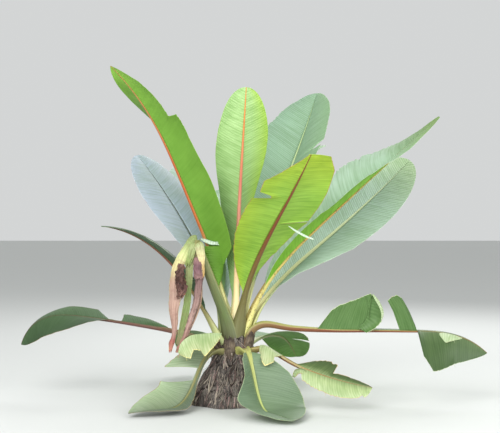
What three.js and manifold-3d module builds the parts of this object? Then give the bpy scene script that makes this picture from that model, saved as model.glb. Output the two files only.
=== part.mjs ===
// A rock banana plant: one short swollen stem that stands on level ground, and the paddle
// leaves that fan out of its crown. Each leaf is a channelled stalk that runs on as the rib
// of a long blade. Millimetres, +Z up, origin at the middle of the flat cut under the stem.
// Azimuth 0 is +X and 90 is +Y, which points away from the side that the plant is seen from.
import * as THREE from "three";
import { mergeVertices } from "three/addons/utils/BufferGeometryUtils.js";
import Module from "manifold-3d";

const wasm = await Module();
wasm.setup();

const CLEARANCE = 0.4; // between a solid and the neighbour that it is trimmed to
const SLIVER = 0.1; // facets thinner than this are dropped after a cut

// The stem: its radius at even heights from the ground to the top of the crown
const STEM_HEIGHT = 660;
const STEM_RADII = [310, 284, 248, 212, 182, 155, 122, 52];
const CROWN_OFFSET = 55; // how far the crown leans over, along +X
const STEM_SIDES = 28;
const STEM_RINGS = 11;
const SHEATH_LOBES = 7; // old leaf bases that ridge the stem
const LOBE_DEPTH = 0.05; // of the radius
const LOBE_TWIST = 55; // degrees from the ground to the crown

// What all leaves share
const STALK_FOOT_HALF = 46; // half the stalk's width where it leaves the stem
const STALK_HALF = 27; // and where the blade begins
const STALK_FOOT_DEPTH = 42;
const STALK_DEPTH = 30;
const RIB_TIP = 3; // half the rib's width, and its depth, at the leaf's tip
const CHANNEL = 6; // depth of the groove along the stalk's upper side
const WING = 7; // the stalk's thin edge, which widens into the blade
const THICKNESS_SHARE = 0.01; // a blade's thickness as a share of its leaf's length
const RIB_OVER_THICKNESS = 0.6; // the rib is at least this wide a half, by the thickness
const KEEL = 4; // how far the rib stands out below the blade at the least
const WIDEST = 0.62; // how far along a blade is widest
const FULLNESS = 1.3; // 1 is a broad paddle, and higher values slimmer at both ends
const FRAME_STEPS = 120; // even steps that a leaf's curve is walked in
const BLADE_STEPS = 9; // lengths of facet along a whole blade
const STALK_STEPS = 3; // and along its stalk
const HALF_STEPS = 2; // facets from the rib to the margin
const LEAST_STEP = 0.008; // of the blade, so that no facet is a sliver

// Each leaf: its azimuth, where its foot sits in the crown [reach from the middle, height],
// its length, the share of it that is stalk, and the blade's full width. Lists run evenly
// from foot to tip, and fold and roll along the blade, where 0 is its start and 1 its tip.
//   lean    how far the rib leans from upright, and over 90 it hangs
//   fold    how far each half of the blade rises over flat, or [right half, left half]
//   fold_at in place of fold, as [place, right half, left half], where it changes at a tear
//   curl    what the fold gains towards the margin
//   roll    how far the blade turns about its rib
//   widest  the place where the blade is widest, if not WIDEST
//   cut_at  the place of a whole blade's outline at which this one's torn end is
//   keep    how much of a torn half is left, as [place, share of the outline's width], and
//           over 1 where a shred hangs past the outline
//   after   the piece that this one grows on from, in place of a foot
const LEAVES = [
  {
    name: "leaf_centre", azimuth: [-78], foot: [18, 600], length: 2080, stalk: 0.1, width: 450,
    lean: [-4, 10, 17, 17], fold: [66, 56, 48, 30, 8, 4], curl: -6, roll: [0, 0],
  },
  {
    name: "leaf_front", azimuth: [-62], foot: [50, 560], length: 1935, stalk: 0.2, width: 610,
    lean: [9, 39, 48, 43], fold: [40, 10, 4, 2], curl: -4, roll: [0, -4], cut_at: 0.9,
    keep: {
      right: [[0, 1], [0.66, 1], [0.71, 0.5], [0.76, 0.8], [1, 0.08]],
      left: [[0, 0.6], [0.3, 0.8], [0.5, 1], [0.9, 1], [1, 0.8]],
    },
  },
  {
    name: "leaf_tall_left", azimuth: [206, 208, 218], foot: [55, 560], length: 2520,
    stalk: 0.15, width: 590, widest: 0.42, lean: [5, 23, 28, 52], fold: [48, 45, 36, 14],
    curl: -8, roll: [-13, -13, -4],
  },
  {
    name: "leaf_back_right", azimuth: [62], foot: [45, 580], length: 2755, stalk: 0.16,
    width: 640, lean: [29, 36, 40, 35], fold: [50, 36, 28, 16], curl: -6, roll: [0, 0],
    keep: {
      right: [[0, 1], [0.62, 1], [0.65, 0.6], [0.68, 1], [1, 1]],
    },
  },
  {
    name: "leaf_right_folded", azimuth: [3], foot: [60, 560], length: 2560, stalk: 0.17,
    width: 560, lean: [15, 44, 48, 48], fold: [56, 44, 32, 26, 8, 2], curl: -4,
    roll: [8, 10, 10, 14, 8, 4],
  },
  {
    name: "leaf_right_open", azimuth: [28], foot: [75, 545], length: 2360, stalk: 0.15,
    width: 580, lean: [27, 52, 53, 48], fold: [50, 22, 14, 8], curl: -6, roll: [20, 48, 50],
  },
  {
    name: "leaf_back_left", azimuth: [122], foot: [50, 575], length: 1770, stalk: 0.16,
    width: 500, lean: [22, 34, 37, 40], fold: [55, 28, 20, 12], curl: -6, roll: [0, 0],
  },
  {
    name: "leaf_left_pale", azimuth: [152], foot: [100, 545], length: 1850, stalk: 0.17,
    width: 540, lean: [6, 27, 36, 44], fold: [50, 24, 16, 10], curl: -8, roll: [0, -8],
  },
  {
    name: "leaf_rear", azimuth: [92], foot: [78, 555], length: 2150, stalk: 0.18, width: 540,
    lean: [20, 46, 58, 78], fold: [50, 24, 16, 6], curl: -8, roll: [0, 0],
  },
  {
    name: "leaf_left_mid", azimuth: [184], foot: [95, 500], length: 1500, stalk: 0.2,
    width: 470, lean: [28, 33, 52, 84], fold: [50, 24, 14, 4], curl: -8, roll: [0, 0],
  },
  {
    name: "leaf_left_low", azimuth: [174], foot: [105, 440], length: 1920, stalk: 0.24,
    width: 490, lean: [58, 79, 83, 92, 165], fold: [[40, 20], [16, 10], [14, -30], [10, -56]],
    curl: -6, roll: [0, 0],
    keep: {
      right: [[0, 1], [0.3, 1], [0.34, 0.1], [0.42, 0.1], [0.46, 1], [1, 1]],
      left: [[0, 0.1], [0.42, 0.1], [0.47, 1], [1, 1]],
    },
  },
  {
    name: "leaf_right_low", azimuth: [-6], foot: [105, 525], length: 2130, stalk: 0.32,
    width: 620, widest: 0.5, lean: [0, 94, 93, 91, 90, 91, 92, 108, 134],
    fold_at: [
      [0, 70, 20], [0.17, 76, 14], [0.35, 76, 12], [0.56, 70, 16], [0.58, 54, 16],
      [0.61, -20, 18], [0.64, -40, 20], [0.83, -60, 14], [1, -58, 10],
    ],
    curl: -4, roll: [0, 0],
    keep: {
      right: [
        [0, 0.1], [0.1, 0.5], [0.29, 1.25], [0.35, 1], [0.37, 0.04], [0.41, 0.04], [0.43, 0.9],
        [0.49, 1], [0.56, 0.5], [0.58, 0.04], [0.595, 0.04], [0.61, 0.04], [0.64, 0.8],
        [1, 1.3],
      ],
      left: [[0, 1], [0.33, 1], [0.35, 0.4], [0.37, 1], [1, 1]],
    },
  },
  {
    name: "leaf_rear_low", azimuth: [106], foot: [105, 400], length: 1620, stalk: 0.24,
    width: 470, lean: [74, 88, 102, 132], fold: [40, 16, 6, -6], curl: -10, roll: [0, 8],
  },
  {
    name: "leaf_rear_right_low", azimuth: [68], foot: [105, 400], length: 1560, stalk: 0.24,
    width: 460, lean: [72, 88, 104, 136], fold: [40, 16, 4, -8], curl: -10, roll: [0, -8],
    keep: {
      right: [[0, 1], [0.7, 1], [0.73, 0.3], [0.76, 1], [1, 1]],
      left: [[0, 1], [0.5, 1], [0.52, 0.3], [0.54, 1], [1, 1]],
    },
  },
  {
    name: "leaf_front_low", azimuth: [-66], foot: [110, 430], length: 1250, stalk: 0.16,
    width: 560, widest: 0.5, lean: [34, 128, 152, 138, 90, 88, 92],
    fold: [[40, 20], [50, 8], [30, 4], [16, 10], [6, 6]], curl: -4, roll: [0, 0],
  },
  {
    name: "leaf_right_torn", azimuth: [-22], foot: [110, 420], length: 1160, stalk: 0.2,
    width: 460, widest: 0.45, lean: [50, 116, 108, 102, 96],
    fold: [[-50, 10], [-56, 30], [-56, 44], [-50, 40], [-50, 10]], curl: -4, roll: [0, 0],
    keep: {
      right: [[0, 1.2], [0.14, 1.1], [0.18, 0.1], [0.38, 0.1], [0.42, 1], [0.9, 1.2], [1, 3]],
      left: [[0, 0.1], [0.34, 0.1], [0.42, 0.8], [0.74, 0.8], [0.78, 0.1], [1, 0.1]],
    },
  },
  {
    name: "leaf_left_torn", azimuth: [222], foot: [110, 430], length: 1200, stalk: 0.12,
    width: 520, widest: 0.4, lean: [48, 128, 152, 136, 90, 88, 92],
    fold: [[30, 20], [40, 20], [50, 10], [36, 10], [6, 6]], curl: -6, roll: [0, 0],
    keep: {
      right: [[0, 1], [0.2, 1.2], [0.24, 0.1], [0.34, 0.1], [0.38, 1], [1, 1]],
      left: [[0, 0.3], [0.34, 0.2], [0.5, 0.6], [0.62, 1], [1, 1]],
    },
  },
  {
    name: "dead_leaf_stalk", azimuth: [222], foot: [60, 540], length: 924, stalk: 1, width: 0,
    lean: [11, 26, 25, 27], fold: [20], curl: 0, roll: [0],
  },
  {
    name: "dead_leaf_blade", azimuth: [200, 192], after: "dead_leaf_stalk", length: 1010,
    stalk: 0.03, width: 560, widest: 0.3, lean: [165, 192, 184, 160, 156, 158],
    fold: [40, 74, 78, 78], curl: 8, roll: [0, 0],
  },
];

// Short stubs of leaves that have dropped off: azimuth, height of the foot, length
const STUBS = [
  [-36, 380, 250],
  [258, 360, 240],
  [205, 330, 240],
  [140, 370, 230],
  [30, 350, 240],
  [80, 330, 220],
];
const STUB_REACH = 128; // of each one's foot from the stem's middle
const STUB_LEAN = [8, 14];

const FINISHES = {
  stem: { color: 0x6b5440, roughness: 0.85 },
  leaf: { color: 0x6fa84a, roughness: 0.45 },
  dead_leaf: { color: 0xa07a5c, roughness: 0.7 },
  leaf_stub: { color: 0x8d8a5a, roughness: 0.7 },
};

const radians = THREE.MathUtils.degToRad;

// The value at share (0 to 1) of a smooth line through values that are set evenly
function spread(values, share) {
  const last = values.length - 1;
  if (last === 0) return values[0];
  const i = Math.min(Math.floor(share * last), last - 1);
  const f = share * last - i;
  const [b, c] = [values[i], values[i + 1]];
  const a = i > 0 ? values[i - 1] : 2 * b - c;
  const d = i + 2 <= last ? values[i + 2] : 2 * c - b;
  return b + 0.5 * f * (c - a + f * (2 * a - 5 * b + 4 * c - d + f * (3 * (b - c) + d - a)));
}

// The value at place of straight lines through [place, value] knots
function between(knots, place) {
  let i = 1;
  while (i < knots.length - 1 && knots[i][0] < place) i++;
  const [[a, from], [b, to]] = [knots[i - 1], knots[i]];
  return from + (to - from) * THREE.MathUtils.clamp((place - a) / (b - a), 0, 1);
}

// The directions at share of a leaf, along its rib and to its upper side
function directions(leaf, share) {
  const compass = radians(spread(leaf.azimuth, share));
  const lean = radians(spread(leaf.lean, share));
  const out = new THREE.Vector3(Math.cos(compass), Math.sin(compass), 0);
  const along = out.clone().multiplyScalar(Math.sin(lean)).setZ(Math.cos(lean));
  const up = out.multiplyScalar(-Math.cos(lean)).setZ(Math.sin(lean));
  const roll = radians(spread(leaf.roll, Math.max(0, bladePlace(leaf, share))));
  return { along, up: up.applyAxisAngle(along, roll) };
}

// Frames at even steps along a leaf from its foot
function frames(leaf, foot) {
  const found = [];
  const point = foot.clone();
  for (let k = 0; k <= FRAME_STEPS; k++) {
    found.push({ point: point.clone(), ...directions(leaf, k / FRAME_STEPS) });
    const { along } = directions(leaf, Math.min(1, (k + 0.5) / FRAME_STEPS));
    point.addScaledVector(along, leaf.length / FRAME_STEPS);
  }
  return found;
}

function frameAt(found, share) {
  const place = share * (found.length - 1);
  const i = Math.min(Math.floor(place), found.length - 2);
  const mix = (key) => found[i][key].clone().lerp(found[i + 1][key], place - i);
  const along = mix("along").normalize();
  const up = mix("up").normalize();
  return { point: mix("point"), along, up, right: along.clone().cross(up) };
}

// 0 where the blade begins and 1 at the leaf's tip, and below 0 on the stalk
function bladePlace(leaf, share) {
  return leaf.stalk < 1 ? (share - leaf.stalk) / (1 - leaf.stalk) : -1;
}

// The blade's half-width by its place, as a share of the widest
function outline(place, widest) {
  const rise = Math.pow(place / widest, widest);
  const fall = Math.pow((1 - place) / (1 - widest), 1 - widest);
  return Math.pow(rise * fall, FULLNESS);
}

// Half the rib's width and its depth
function ribSize(leaf, share) {
  const stalk = THREE.MathUtils.clamp(share / leaf.stalk, 0, 1);
  const rest = 1 - Math.max(0, bladePlace(leaf, share));
  const half = STALK_FOOT_HALF + (STALK_HALF - STALK_FOOT_HALF) * stalk;
  const depth = STALK_FOOT_DEPTH + (STALK_DEPTH - STALK_FOOT_DEPTH) * stalk;
  return {
    half: RIB_TIP + (half - RIB_TIP) * rest,
    depth: RIB_TIP + (depth - RIB_TIP) * rest,
    groove: CHANNEL * rest,
  };
}

function halfWidth(leaf, side, place, ribHalf) {
  if (place <= 0) return WING;
  const whole = outline(place * (leaf.cut_at ?? 1), leaf.widest ?? WIDEST);
  const knots = leaf.keep?.[side] ?? [];
  const kept = knots.length ? between(knots, place) : 1;
  return Math.max(WING, (leaf.width / 2) * whole * kept - ribHalf);
}

// The section at share, as points [right, up] that run clockwise from the channel: over
// the right half, round its margin and back below it to the keel, then the left half
function section(leaf, share, grow) {
  const place = bladePlace(leaf, share);
  const rib = ribSize(leaf, share);
  const half = leaf.length * THICKNESS_SHARE * 0.5 + grow;
  const ribHalf = Math.max(rib.half, RIB_OVER_THICKNESS * 2 * half) + grow;
  const fold = (k) => {
    if (leaf.fold_at) return between(leaf.fold_at.map((f) => [f[0], f[1 + k]]), place);
    return spread(leaf.fold.map((f) => f[k] ?? f), Math.max(0, place));
  };
  const sides = [fold(0), fold(1)].map((angle, k) => {
    const width = halfWidth(leaf, k ? "left" : "right", place, ribHalf) + grow;
    const [top, bottom] = [[], []];
    let [x, y] = [ribHalf, 0];
    for (let i = 0; i <= HALF_STEPS; i++) {
      const here = radians(angle + (leaf.curl * i) / HALF_STEPS);
      const [nx, ny] = [-Math.sin(here) * half, Math.cos(here) * half];
      top.push([x + nx, y + ny]);
      bottom.unshift([x - nx, y - ny]);
      const next = radians(angle + (leaf.curl * (i + 0.5)) / HALF_STEPS);
      x += (Math.cos(next) * width) / HALF_STEPS;
      y += (Math.sin(next) * width) / HALF_STEPS;
    }
    return { top, bottom };
  });
  const rim = Math.min(sides[0].top[0][1], sides[1].top[0][1]);
  const mirrored = ([x, y]) => [-x, y];
  const [right, left] = sides;
  return [
    [0, rim - rib.groove],
    ...right.top,
    ...right.bottom,
    [0, -Math.max(rib.depth, half + KEEL) - grow],
    ...left.bottom.reverse().map(mirrored),
    ...left.top.reverse().map(mirrored),
  ];
}

// The triangles that close a leaf's section, in the order of its points
function leafCap() {
  const margin = HALF_STEPS + 1;
  const keel = 2 * margin + 1;
  const last = keel + 2 * margin;
  const right = { top: (i) => 1 + i, bottom: (i) => keel - 1 - i };
  const left = { top: (i) => last - i, bottom: (i) => keel + 1 + i };
  const faces = [
    [0, right.top(0), right.bottom(0)],
    [0, right.bottom(0), keel],
    [0, keel, left.bottom(0)],
    [0, left.bottom(0), left.top(0)],
  ];
  for (let i = 0; i < HALF_STEPS; i++) {
    faces.push([right.top(i), right.top(i + 1), right.bottom(i + 1)]);
    faces.push([right.top(i), right.bottom(i + 1), right.bottom(i)]);
    faces.push([left.bottom(i), left.bottom(i + 1), left.top(i + 1)]);
    faces.push([left.bottom(i), left.top(i + 1), left.top(i)]);
  }
  return faces;
}

// Sides of a leaf's section that run in towards the rib: the right half's lower face and
// the left half's upper one
const runsIn = (i) => {
  const margin = HALF_STEPS + 1;
  return (i > margin && i <= 2 * margin) || i > 3 * margin + 1;
};

// A closed body through sections set in frames, with the same flat cap at both ends. The
// facets of a side that turned picks are split along their other diagonal, so that both
// faces of a thin twisted blade are split alike and don't cross.
function sweep(sections, placed, cap, turned) {
  const sides = sections[0].length;
  const points = sections.flatMap((shape, k) =>
    shape.flatMap(([x, y]) => {
      const { point, right, up } = placed[k];
      return point.clone().addScaledVector(right, x).addScaledVector(up, y).toArray();
    }),
  );
  const faces = [];
  for (let k = 0; k + 1 < sections.length; k++)
    for (let i = 0; i < sides; i++) {
      const a = k * sides + i;
      const b = k * sides + ((i + 1) % sides);
      if (turned(i)) faces.push(a, b, a + sides, b, b + sides, a + sides);
      else faces.push(a, b, b + sides, a, b + sides, a + sides);
    }
  const end = (sections.length - 1) * sides;
  for (const [a, b, c] of cap) faces.push(a, c, b, a + end, b + end, c + end);
  const geometry = new THREE.BufferGeometry();
  geometry.setAttribute("position", new THREE.Float32BufferAttribute(points, 3));
  geometry.setIndex(faces);
  return geometry;
}

function toSolid(geometry) {
  const merged = mergeVertices(geometry, 1e-3);
  return new wasm.Manifold(
    new wasm.Mesh({
      numProp: 3,
      vertProperties: new Float32Array(merged.attributes.position.array),
      triVerts: new Uint32Array(merged.index.array),
    }),
  );
}

function toGeometry(solid) {
  const { vertProperties, triVerts } = solid.getMesh();
  const geometry = new THREE.BufferGeometry();
  geometry.setAttribute("position", new THREE.BufferAttribute(vertProperties, 3));
  geometry.setIndex(new THREE.BufferAttribute(triVerts, 1));
  return geometry;
}

// The places along a leaf that its body runs through: closer near the blade's ends, and
// one at each knot of a tear
function stations(leaf) {
  const shares = [];
  for (let k = 0; k < STALK_STEPS; k++) shares.push((leaf.stalk * k) / STALK_STEPS);
  if (leaf.stalk >= 1) return [...shares, 1];
  const places = new Set();
  for (let k = 0; k <= BLADE_STEPS; k++)
    places.add(0.5 - 0.5 * Math.cos((Math.PI * k) / BLADE_STEPS));
  for (const side of ["right", "left"])
    for (const [place] of leaf.keep?.[side] ?? []) places.add(place);
  const sorted = [...places].sort((a, b) => a - b);
  const spaced = sorted.filter((p, i) => i === 0 || p === 1 || p - sorted[i - 1] > LEAST_STEP);
  return [...shares, ...spaced.map((p) => leaf.stalk + p * (1 - leaf.stalk))];
}

function leafSolid(leaf, foot, grow) {
  const found = frames(leaf, foot);
  const shares = stations(leaf);
  return toSolid(
    sweep(
      shares.map((share) => section(leaf, share, grow)),
      shares.map((share) => frameAt(found, share)),
      leafCap(),
      runsIn,
    ),
  );
}

// The stem's centre at a height, and its radius there in a direction
const stemAxis = (height) => new THREE.Vector3((CROWN_OFFSET * height) / STEM_HEIGHT, 0, height);

function stemRadius(height, angle) {
  const share = height / STEM_HEIGHT;
  const lobe = Math.cos(SHEATH_LOBES * (angle - radians(LOBE_TWIST) * share));
  return spread(STEM_RADII, share) * (1 + LOBE_DEPTH * lobe * (1 - share));
}

function stemSolid(grow) {
  const sections = [];
  const placed = [];
  for (let k = 0; k <= STEM_RINGS; k++) {
    const height = (STEM_HEIGHT * k) / STEM_RINGS;
    const shape = [];
    for (let i = 0; i < STEM_SIDES; i++) {
      const angle = (2 * Math.PI * i) / STEM_SIDES;
      const radius = stemRadius(height, angle) + grow;
      shape.push([radius * Math.cos(angle), -radius * Math.sin(angle)]);
    }
    sections.push(shape);
    const point = stemAxis(height);
    if (k === STEM_RINGS) point.z += grow;
    placed.push({
      point,
      right: new THREE.Vector3(1, 0, 0),
      up: new THREE.Vector3(0, -1, 0),
    });
  }
  const round = sections.at(-1).map(([x, y]) => new THREE.Vector2(x, y));
  const cap = THREE.ShapeUtils.triangulateShape(round, []);
  const facingOut = cap.map(([a, b, c]) => [a, c, b]);
  return toSolid(sweep(sections, placed, facingOut, () => false));
}

// The point inside the stem where a leaf starts
function footPoint(leaf) {
  const [reach, height] = leaf.foot;
  const compass = radians(leaf.azimuth[0]);
  return stemAxis(height).add(
    new THREE.Vector3(Math.cos(compass), Math.sin(compass), 0).multiplyScalar(reach),
  );
}

const stubs = STUBS.map(([azimuth, height, length], i) => ({
  name: "leaf_stub_" + (i + 1), azimuth: [azimuth], foot: [STUB_REACH, height], length,
  stalk: 1, width: 0, lean: STUB_LEAN, fold: [10], curl: 0, roll: [0],
}));

function named(name, solid) {
  const kinds = Object.keys(FINISHES).filter((kind) => name.startsWith(kind));
  const material = new THREE.MeshStandardMaterial(FINISHES[kinds.at(-1)]);
  const mesh = new THREE.Mesh(toGeometry(solid), material);
  mesh.name = name;
  return mesh;
}

// Each leaf is trimmed to the stem and to the leaves inside it, and what is left whole
// after that is the leaf
const plant = new THREE.Group();
plant.add(named("stem", stemSolid(0)));
const inside = [stemSolid(CLEARANCE)];
const tips = {};
for (const leaf of [...LEAVES, ...stubs]) {
  const foot = leaf.after ? tips[leaf.after] : footPoint(leaf);
  let solid = leafSolid(leaf, foot, 0);
  for (const other of inside) solid = solid.subtract(other);
  const [whole] = solid.decompose().sort((a, b) => b.volume() - a.volume());
  plant.add(named(leaf.name, whole.simplify(SLIVER)));
  inside.push(leafSolid(leaf, foot, CLEARANCE));
  const tip = frames(leaf, foot).at(-1);
  tips[leaf.name] = tip.point.addScaledVector(tip.along, CLEARANCE);
}

export default plant;
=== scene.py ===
# A rock banana plant: a short swollen stem of old leaf sheaths, and the paddle leaves that fan
# out of its crown. Metres, +Z up, +X to the right and +Y away as the plant is seen.
import math

import bpy
import numpy as np
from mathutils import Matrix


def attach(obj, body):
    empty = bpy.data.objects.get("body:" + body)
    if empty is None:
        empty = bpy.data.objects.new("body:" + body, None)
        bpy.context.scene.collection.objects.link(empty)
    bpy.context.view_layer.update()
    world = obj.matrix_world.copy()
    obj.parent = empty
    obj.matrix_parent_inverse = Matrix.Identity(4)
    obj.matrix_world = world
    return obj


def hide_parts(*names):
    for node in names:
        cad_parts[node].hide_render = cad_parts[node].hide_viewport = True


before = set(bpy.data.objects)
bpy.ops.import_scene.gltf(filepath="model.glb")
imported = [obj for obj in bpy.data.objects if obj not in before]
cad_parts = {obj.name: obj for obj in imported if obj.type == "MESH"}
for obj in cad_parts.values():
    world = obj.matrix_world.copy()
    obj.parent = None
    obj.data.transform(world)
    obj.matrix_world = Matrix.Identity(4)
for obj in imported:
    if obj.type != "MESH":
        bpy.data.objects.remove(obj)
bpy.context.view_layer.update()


# The studio: a pale matt floor under an overcast sky, one broad soft light over the left
# shoulder and a second from behind and above, so that thin leaves glow. The camera stands
# where the photograph was taken from, level and at eye height, and sees no floor's end.
FLOOR_HALF = 60.0
SKY_STRENGTH = 0.78
CAMERA_PLACE = (0.17, -9.0, 1.577)
CAMERA_LENS = 76.2  # mm, on the usual 36 mm wide sensor
LIGHTS = {  # place, what it points at, side of its square, watts
    "sky_left": ((-3.0, -9.0, 5.5), (0.0, 0.0, 1.4), 7.0, 1180.0),
    "sky_right": ((6.5, -7.0, 4.0), (0.2, 0.0, 1.4), 6.0, 540.0),
    "sky_behind": ((2.5, 6.0, 6.5), (0.0, 0.0, 1.4), 6.0, 420.0),
}


def linear(hex_colour):
    """An sRGB hex colour as the linear colour that a shader takes"""
    parts = [int(hex_colour[i : i + 2], 16) / 255 for i in (1, 3, 5)]
    return tuple(c / 12.92 if c <= 0.04045 else ((c + 0.055) / 1.055) ** 2.4 for c in parts) + (1.0,)


def add(tree, kind, inputs=None, stops=None, **settings):
    """Adds a node with its settings, its inputs as values, sockets or nodes that give one
    thing, and a colour ramp's stops as (place, colour)"""
    node = tree.nodes.new(kind)
    for name, value in settings.items():
        setattr(node, name, value)
    for key, value in (inputs or {}).items():
        if isinstance(value, bpy.types.Node):
            value = next(output for output in value.outputs if output.enabled)
        if isinstance(value, bpy.types.NodeSocket):
            tree.links.new(value, node.inputs[key])
        else:
            node.inputs[key].default_value = value
    if stops:
        ramp = node.color_ramp
        while len(ramp.elements) < len(stops):
            ramp.elements.new(1.0)
        for element, (place, colour) in zip(ramp.elements, stops):
            element.position = place
            element.color = linear(colour)
    return node


def new_finish(name):
    """An empty node material and its tree"""
    material = bpy.data.materials.new(name)
    material.use_nodes = True
    material.node_tree.nodes.clear()
    return material, material.node_tree


def coated(material, tree, sockets):
    """Ends a finish with an opaque surface of these measures"""
    surface = add(tree, "ShaderNodeBsdfPrincipled", sockets)
    add(tree, "ShaderNodeOutputMaterial", {"Surface": surface})
    return material


def pale_matt_floor():
    """Matt painted board: it gives back soft light and no reflection"""
    material, tree = new_finish("pale_matt_floor")
    grain = add(tree, "ShaderNodeTexNoise", {"Scale": 0.6, "Detail": 3.0})
    tone = add(tree, "ShaderNodeValToRGB", {"Fac": grain}, [(0.3, "#CCCECC"), (0.7, "#D1D3D1")])
    return coated(material, tree, {"Base Color": tone, "Roughness": 0.9, "Specular IOR Level": 0.1})


def make_object(name, data):
    made = bpy.data.objects.new(name, data)
    bpy.context.scene.collection.objects.link(made)
    return made


def point_at(placed, target):
    """Turns a light to look at a point"""
    away = placed.location.__class__(target) - placed.location
    placed.rotation_euler = away.to_track_quat("-Z", "Y").to_euler()


floor_mesh = bpy.data.meshes.new("floor")
floor_corners = [(x * FLOOR_HALF, y * FLOOR_HALF, 0.0) for x, y in ((-1, -1), (1, -1), (1, 1), (-1, 1))]
floor_mesh.from_pydata(floor_corners, [], [(0, 1, 2, 3)])
floor_mesh.materials.append(pale_matt_floor())
floor = make_object("floor", floor_mesh)

world = bpy.data.worlds.new("overcast")
bpy.context.scene.world = world
world.use_nodes = True
world.node_tree.nodes["Background"].inputs["Color"].default_value = linear("#ECEEEE")
world.node_tree.nodes["Background"].inputs["Strength"].default_value = SKY_STRENGTH
bpy.context.scene.view_settings.view_transform = "Standard"

for light_name, (place, target, side, watts) in LIGHTS.items():
    lamp = bpy.data.lights.new(light_name, "AREA")
    lamp.size = side
    lamp.energy = watts
    light = make_object(light_name, lamp)
    light.location = place
    point_at(light, target)

camera = make_object("camera", bpy.data.cameras.new("camera"))
camera.data.lens = CAMERA_LENS
camera.location = CAMERA_PLACE
camera.rotation_euler = (math.pi / 2, 0.0, 0.0)
bpy.context.scene.camera = camera


# The stem: the swollen foot of the plant, made of the bases of old leaves wrapped round each
# other. The outer ones have died and dried to brown, ragged sheaths with fibrous edges.
STEM_HEIGHT = 0.66
STEM_RADII = [0.310, 0.284, 0.248, 0.212, 0.182, 0.155, 0.122, 0.052]
CROWN_OFFSET = 0.055  # how far the crown leans over, along +X
SHEATH_LOBES = 7
LOBE_DEPTH = 0.05  # of the radius
LOBE_TWIST = 55  # degrees from the ground to the crown
STEM_SIDES = 420
STEM_RINGS = 150
SHEATHS = 13  # dead sheaths, each further out and lower than the one before
SHEATH_TURN = 137.5  # degrees from one sheath to the next, as leaves grow
SHEATH_STEP = 0.0040  # thickness of one dried sheath
SHEATH_SET_IN = 0.024  # how far inside the CAD's surface the innermost one lies
SHEATH_TOPS = (0.64, 0.14)  # heights of the innermost and the outermost one's torn top
SHEATH_SPREAD = (40, 95)  # degrees to each side at its top, and what the ground adds to them
TATTER = 0.075  # how far the tatters of a torn top reach up and down
TATTERS = (64, 23)  # small and large tatters round the stem
TOP_FALL = 0.05  # how far a torn top falls away to a sheath's two sides
THINS_OVER = (0.014, 0.012)  # what a sheath thins over at its torn top and at its sides
SIDE_RADIUS = 0.2  # of the stem, roughly, where a sheath's way round is measured
FIBRE_RIDGE = 0.0055  # height of the coarse fibres that run down a sheath
BUNDLES = (96, 210)  # coarse and fine fibre bundles round the stem
FIBRE_TWIST = (0.05, 0.03)  # turns that coarse and fine fibres take from ground to crown
SMOOTH_FROM = 0.86  # of the height, from where the sheaths' relief fades out to the crown
FIBRE_ROOM = 0.93  # of the height that a fibre hangs from, so that it ends over the ground
LEAST_HEIGHT = 0.004  # of a fibre over the ground


def spread(values, share):
    """The value at share, from 0 to 1, of a smooth line through values that are set evenly"""
    values = np.atleast_1d(np.asarray(values, float))
    share = np.asarray(share, float)
    last = len(values) - 1
    if last == 0:
        return np.full(share.shape, values[0])
    i = np.clip((share * last).astype(int), 0, last - 1)
    f = share * last - i
    b, c = values[i], values[i + 1]
    a = np.where(i > 0, values[np.maximum(i - 1, 0)], 2 * b - c)
    d = np.where(i + 2 <= last, values[np.minimum(i + 2, last)], 2 * c - b)
    return b + 0.5 * f * (c - a + f * (2 * a - 5 * b + 4 * c - d + f * (3 * (b - c) + d - a)))


def step_up(low, high, value):
    """0 below low and 1 above high, and smooth between them"""
    t = np.clip((value - low) / (high - low), 0, 1)
    return t * t * (3 - 2 * t)


def uneven(draws, u, v, cells_u, cells_v):
    """Smooth random values from -1 to 1 over u and v, which run from 0 to 1, where u closes"""
    lattice = draws.uniform(-1, 1, (cells_u, cells_v + 2))
    x, y = np.asarray(u) * cells_u, np.clip(v, 0, 1) * cells_v
    i, j = np.floor(x).astype(int), np.floor(y).astype(int)
    fx, fy = step_up(0, 1, x - i), step_up(0, 1, y - j)
    near, far = lattice[i % cells_u, j], lattice[(i + 1) % cells_u, j]
    near_on, far_on = lattice[i % cells_u, j + 1], lattice[(i + 1) % cells_u, j + 1]
    return (near * (1 - fx) + far * fx) * (1 - fy) + (near_on * (1 - fx) + far_on * fx) * fy


def stem_radius(height, angle):
    """The stem's own radius, as the CAD has it"""
    share = height / STEM_HEIGHT
    lobe = np.cos(SHEATH_LOBES * (angle - math.radians(LOBE_TWIST) * share))
    return spread(STEM_RADII, share) * (1 + LOBE_DEPTH * lobe * (1 - share))


def mesh_of(name, points, faces):
    """A smooth mesh from an array of points and a list of faces"""
    mesh = bpy.data.meshes.new(name)
    mesh.from_pydata(points.reshape(-1, 3).tolist(), [], faces)
    mesh.polygons.foreach_set("use_smooth", [True] * len(mesh.polygons))
    return mesh


def tube_mesh(name, points, flip=False):
    """A tube through rings of points, closed at both ends"""
    rings, sides = points.shape[:2]
    i, j = np.meshgrid(np.arange(rings - 1), np.arange(sides), indexing="ij")
    a = (i * sides + j).ravel()
    b = (i * sides + (j + 1) % sides).ravel()
    walls = np.stack([a, a + sides, b + sides, b] if flip else [a, b, b + sides, a + sides], axis=1)
    first, last = list(range(sides)), list(range((rings - 1) * sides, rings * sides))
    ends = [first, last[::-1]] if flip else [first[::-1], last]
    return mesh_of(name, points, [*walls.tolist(), *ends])


def store(mesh, name, values, kind="FLOAT", domain="POINT"):
    """Keeps values on a mesh as an attribute that materials and node trees read"""
    layer = mesh.attributes.new(name, kind, domain)
    layer.data.foreach_set("vector" if kind == "FLOAT_VECTOR" else "value", np.ravel(values))


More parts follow.
